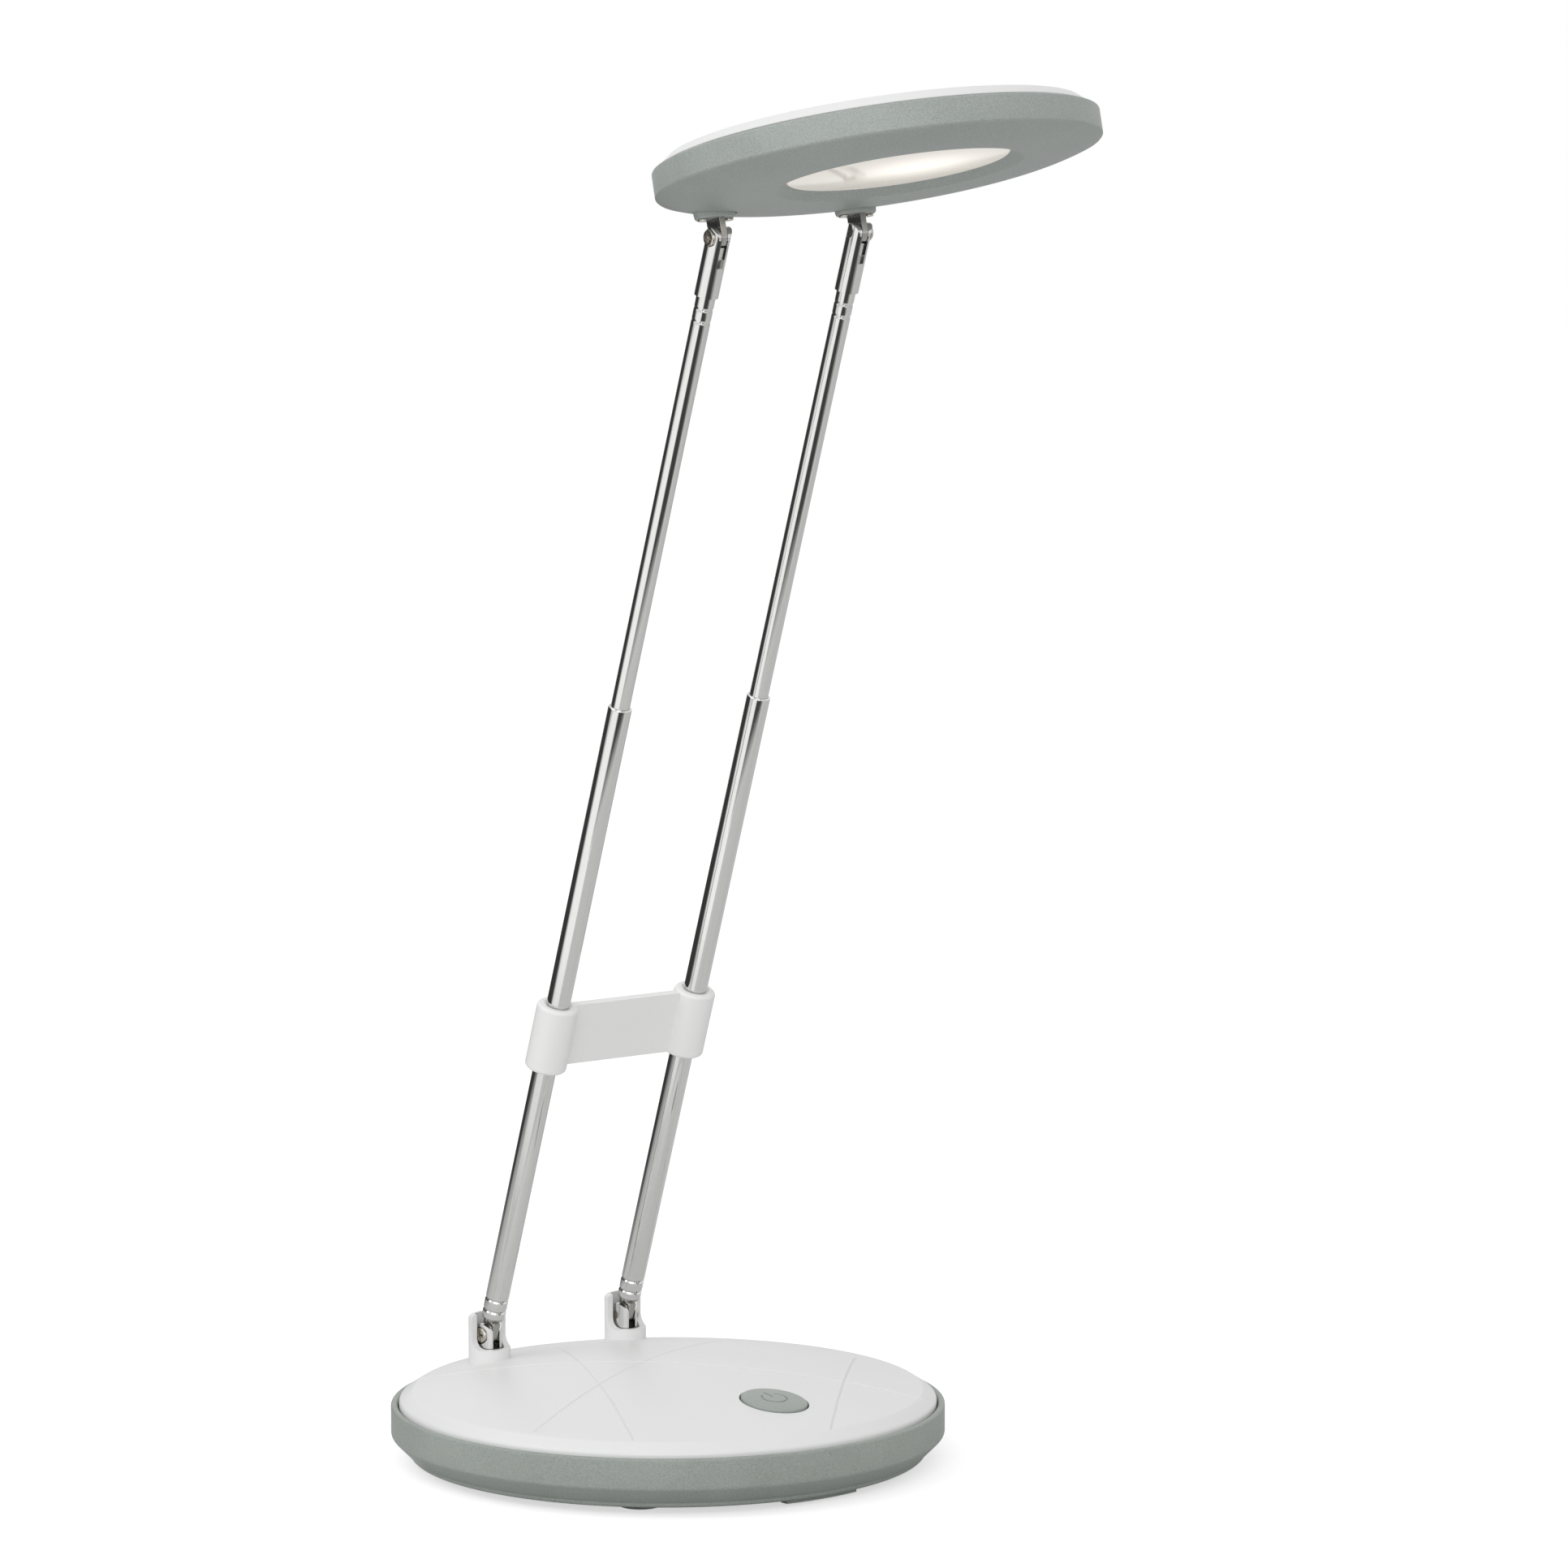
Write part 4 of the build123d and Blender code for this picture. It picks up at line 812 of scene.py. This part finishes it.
profile(bm, [
    (0, cutLow), (outer, cutLow), (outer, under),
    (head["lensRadius"], lensUp), (head["lensRadius"], cutTop), (0, cutTop),
])
spun(bm, head["lensSteps"])
settle(bm, lensMiddle)
carve(headShell, asObject(bm, "lensCut"))
oval = Matrix.Diagonal((head["flangeX"], head["flangeY"], 1, 1))
for _, side in sides:
    bm = bmesh.new()
    peg(bm, 1, head["underside"] - head["flangeReach"], head["flangeTop"], head["flangeSteps"])
    settle(bm, headFrame @ place(side * lamp["armX"], 0, 0) @ oval)
    carve(headShell, asObject(bm, "flangeCut"))
dress(headShell, stuff["head_grey"], "head", ["head_housing"], sharp=24)

lid = dict(
    radius=52.6, step=15.3, skirt=51.9, skirtFoot=12.4, edgeOut=49.8, edgeUp=17.7, domeRise=3.0, wall=1.6,
    edgeRound=0.8, stepRound=0.3, rings=30, innerRings=10, steps=192,
)
lidBend = (lid["edgeOut"] ** 2 + lid["domeRise"] ** 2) / (2 * lid["domeRise"])
lidCentre = lid["edgeUp"] + lid["domeRise"] - lidBend
bm = bmesh.new()
crown = bm.verts.new((0, 0, (lid["edgeUp"] + lid["domeRise"]) * mm))
swing = math.degrees(math.asin(lid["edgeOut"] / lidBend))
edgeVert = arcFrom(bm, crown, (0, lidCentre), swing, lid["rings"])
inner = lid["edgeOut"] - lid["wall"]
innerBend = lidBend - lid["wall"]
line = profile(bm, [
    (lid["radius"], lid["step"]), (lid["skirt"], lid["step"]), (lid["skirt"], lid["skirtFoot"]),
    (lid["skirt"] - lid["wall"], lid["skirtFoot"]), (lid["skirt"] - lid["wall"], lid["step"]),
    (inner, lidCentre + math.sqrt(innerBend ** 2 - inner ** 2)),
])
bm.edges.new((edgeVert, line[0]))
innerSwing = math.degrees(math.asin(inner / innerBend))
arcFrom(bm, line[-1], (0, lidCentre), -innerSwing, lid["innerRings"])
rounded(bm, edgeVert, lid["edgeRound"])
rounded(bm, line[0], lid["stepRound"], segments=3)
spun(bm, lid["steps"])
settle(bm, headMiddle)
lidShell = asObject(bm, "lidShell")
dress(lidShell, stuff["white_shell"], "head", ["head_cover"], sharp=28)

# the lens has a brim behind the opening
lens = dict(gap=0.2, faceRound=0.35, brim=2.4, brimLow=2.0, brimTop=4.2)
bm = bmesh.new()
face = head["lensRadius"] - lens["gap"]
brim, brimLow, brimTop = face + lens["brim"], under + lens["brimLow"], under + lens["brimTop"]
line = profile(bm, [
    (0, lensUp), (face, lensUp), (face, brimLow), (brim, brimLow), (brim, brimTop), (0, brimTop),
])
rounded(bm, line[1], lens["faceRound"], segments=4)
spun(bm, head["lensSteps"])
settle(bm, lensMiddle)
lensDisc = asObject(bm, "lensDisc")
dress(lensDisc, stuff["frosted_lens"], "head", ["lens"], sharp=30)
print("head done")

# what it stands on
feetSkin = skinOf("rubber_feet", "feetSkin")
dress(feetSkin, stuff["foot_rubber"], "base", ["rubber_feet"], sharp=34)
print("feet done")

# floor, light and camera
rightWay, nearWay = Vector((0.7816, -0.6237, 0)), Vector((-0.6237, -0.7816, 0))  # of the picture
studio = dict(
    floorSize=8.0, floorShade=0.66, floorRough=0.9, camLift=0.6, glossLift=0.14,
    worldShade=(0.79, 0.56), camWhite=1.0,
)
bm = bmesh.new()
bmesh.ops.create_grid(bm, x_segments=1, y_segments=1, size=studio["floorSize"] / 2)
floor = asObject(bm, "floor")
paper = bpy.data.materials.new("paperFloor")
paper.use_nodes = True
tree = paper.node_tree
shader = tree.nodes["Principled BSDF"]
shader.inputs["Base Color"].default_value = (*[studio["floorShade"]] * 3, 1)
shader.inputs["Roughness"].default_value = studio["floorRough"]
shader.inputs["Specular IOR Level"].default_value = 0.0
# white to the camera, a little brighter in reflections, and it keeps the shadow
path = tree.nodes.new("ShaderNodeLightPath")
glow = addNode(tree, "ShaderNodeEmission", {"Color": (1, 1, 1, 1)})
toCamera = maths(tree, "MULTIPLY", path.outputs["Is Camera Ray"], studio["camLift"])
toGloss = maths(tree, "MULTIPLY", path.outputs["Is Glossy Ray"], studio["glossLift"])
tree.links.new(maths(tree, "ADD", toCamera, toGloss), glow.inputs["Strength"])
both = tree.nodes.new("ShaderNodeAddShader")
tree.links.new(shader.outputs[0], both.inputs[0])
tree.links.new(glow.outputs[0], both.inputs[1])
tree.links.new(both.outputs[0], tree.nodes["Material Output"].inputs["Surface"])
floor.data.materials.append(paper)

world = bpy.data.worlds.new("studioWorld")
bpy.context.scene.world = world
world.use_nodes = True
tree = world.node_tree
path = tree.nodes.new("ShaderNodeLightPath")
seen = maths(tree, "MAXIMUM", path.outputs["Is Camera Ray"], path.outputs["Is Glossy Ray"])
seen = maths(tree, "MAXIMUM", seen, path.outputs["Is Transmission Ray"])
# the room is a little darker to the picture's right
coords = tree.nodes.new("ShaderNodeTexCoord")
sideways = addNode(tree, "ShaderNodeVectorMath", {1: rightWay}, operation="DOT_PRODUCT")
tree.links.new(coords.outputs["Generated"], sideways.inputs[0])
room = mapTo(tree, sideways.outputs["Value"], -1.0, 1.0, *studio["worldShade"])
plain = maths(tree, "MULTIPLY", maths(tree, "SUBTRACT", 1.0, seen), room)
level = maths(tree, "ADD", plain, maths(tree, "MULTIPLY", seen, studio["camWhite"]))
tree.links.new(level, tree.nodes["Background"].inputs["Strength"])
tree.nodes["Background"].inputs["Color"].default_value = (1, 1, 1, 1)

aimAt = Vector((0, 0, 0.12))
lights = (
    dict(name="keyBox", at=(-1.5, 0.5, 1.7), size=1.5, power=8.5),
    dict(name="fillBox", at=(-1.2, -1.6, 1.0), size=1.4, power=12.5),
)
for setup in lights:
    data = bpy.data.lights.new(setup["name"], "AREA")
    data.shape = "SQUARE"
    data.size = setup["size"]
    data.energy = setup["power"]
    box = bpy.data.objects.new(setup["name"], data)
    bpy.context.scene.collection.objects.link(box)
    aim = aimAt - Vector(setup["at"])
    box.matrix_world = Matrix.Translation(setup["at"]) @ aim.to_track_quat("-Z", "Y").to_matrix().to_4x4()

# cards that only reflections show, with edges that fade: rows of corners to the picture's right,
# towards the camera and up, each with its glow
flatUp, overUp, sideUp = 0.001, 0.0012, 0.6
darkColumns = (  # right, glow
    (-0.05, 0.72), (-0.14, 0.66), (-0.25, 0.5), (-0.36, 0.34), (-0.5, 0.15), (-0.66, 0.07), (-1.5, 0.05),
)
sideSpots = (  # right, near, glow
    (-0.55, -0.85, 0.05), (-0.55, 0.02, 0.05), (-0.55, 0.07, 0.2), (-0.55, 0.16, 0.95),
)
frontColumns = (  # right, near edge, glow
    (-0.12, 0.31, 0.9), (-0.04, 0.305, 0.08), (0.1, 0.27, 0.06), (0.24, 0.2, 0.07), (0.42, 0.15, 0.6),
)
backSpots = ((-0.06, -1.7, 0.1, 0.06), (-0.55, -0.85, 0.13, 0.05))  # right, near, top, glow
softRows = ((0.06, 0.78), (0.1, 1.0), (0.17, 1.05), (0.22, 1.22), (0.75, 1.22))  # near, glow


# from far behind to a slanting front edge
def darkRows(right, own):
    return ((-1.7, 0.06), (-0.5, 0.06), (-0.1, own), (-0.21 * right, own), (-0.35 * right, 0.9))


def frontRows(edge, own):
    return ((edge, 0.8), (edge + 0.09, own), (0.95, own))


cards = dict(
    darkBack=[[(right, near, up, level) for up in (flatUp, top)] for right, near, top, level in backSpots],
    darkSide=[[(right, near, up, level) for up in (flatUp, sideUp)] for right, near, level in sideSpots],
    darkFloor=[
        [(right, near, overUp, level) for near, level in darkRows(right, own)] for right, own in darkColumns
    ],
    darkFront=[
        [(right, near, overUp, level) for near, level in frontRows(edge, own)]
        for right, edge, own in frontColumns
    ],
    softLeft=[[(right, near, flatUp, level) for near, level in softRows] for right in (-1.4, -0.05)],
)
felt = bpy.data.materials.new("felt")
felt.use_nodes = True
tree = felt.node_tree
strength = addNode(tree, "ShaderNodeAttribute", attribute_name="glow")
glow = addNode(tree, "ShaderNodeEmission", {"Color": (1, 1, 1, 1)})
tree.links.new(strength.outputs["Fac"], glow.inputs["Strength"])
tree.links.new(glow.outputs[0], tree.nodes["Material Output"].inputs["Surface"])
for name, rows in cards.items():
    bm = bmesh.new()
    layer = bm.verts.layers.float.new("glow")
    before = []
    for row in rows:
        verts = []
        for right, near, up, level in row:
            verts.append(bm.verts.new(rightWay * right + nearWay * near + Vector((0, 0, up))))
            verts[-1][layer] = level
        for a, b, c, d in zip(before, before[1:], verts, verts[1:]):
            bm.faces.new((a, b, d, c))
        before = verts
    card = asObject(bm, name)
    card.data.materials.append(felt)
    card.visible_camera = False
    card.visible_diffuse = False
    card.visible_shadow = False
    card.visible_transmission = False

# the photo's view
shot = dict(at=(-1.04609, -1.35789, 0.37728), turn=-38.59, down=6.83, lens=158.385, sensor=36)
camData = bpy.data.cameras.new("shot")
camData.lens = shot["lens"]
camData.sensor_width = shot["sensor"]
camera = bpy.data.objects.new("shot", camData)
bpy.context.scene.collection.objects.link(camera)
turned = Matrix.Rotation(math.radians(shot["turn"]), 4, "Z") @ tip(90 - shot["down"])
camera.matrix_world = Matrix.Translation(shot["at"]) @ turned
bpy.context.scene.camera = camera
bpy.context.scene.view_settings.view_transform = "Standard"
print("studio ready")
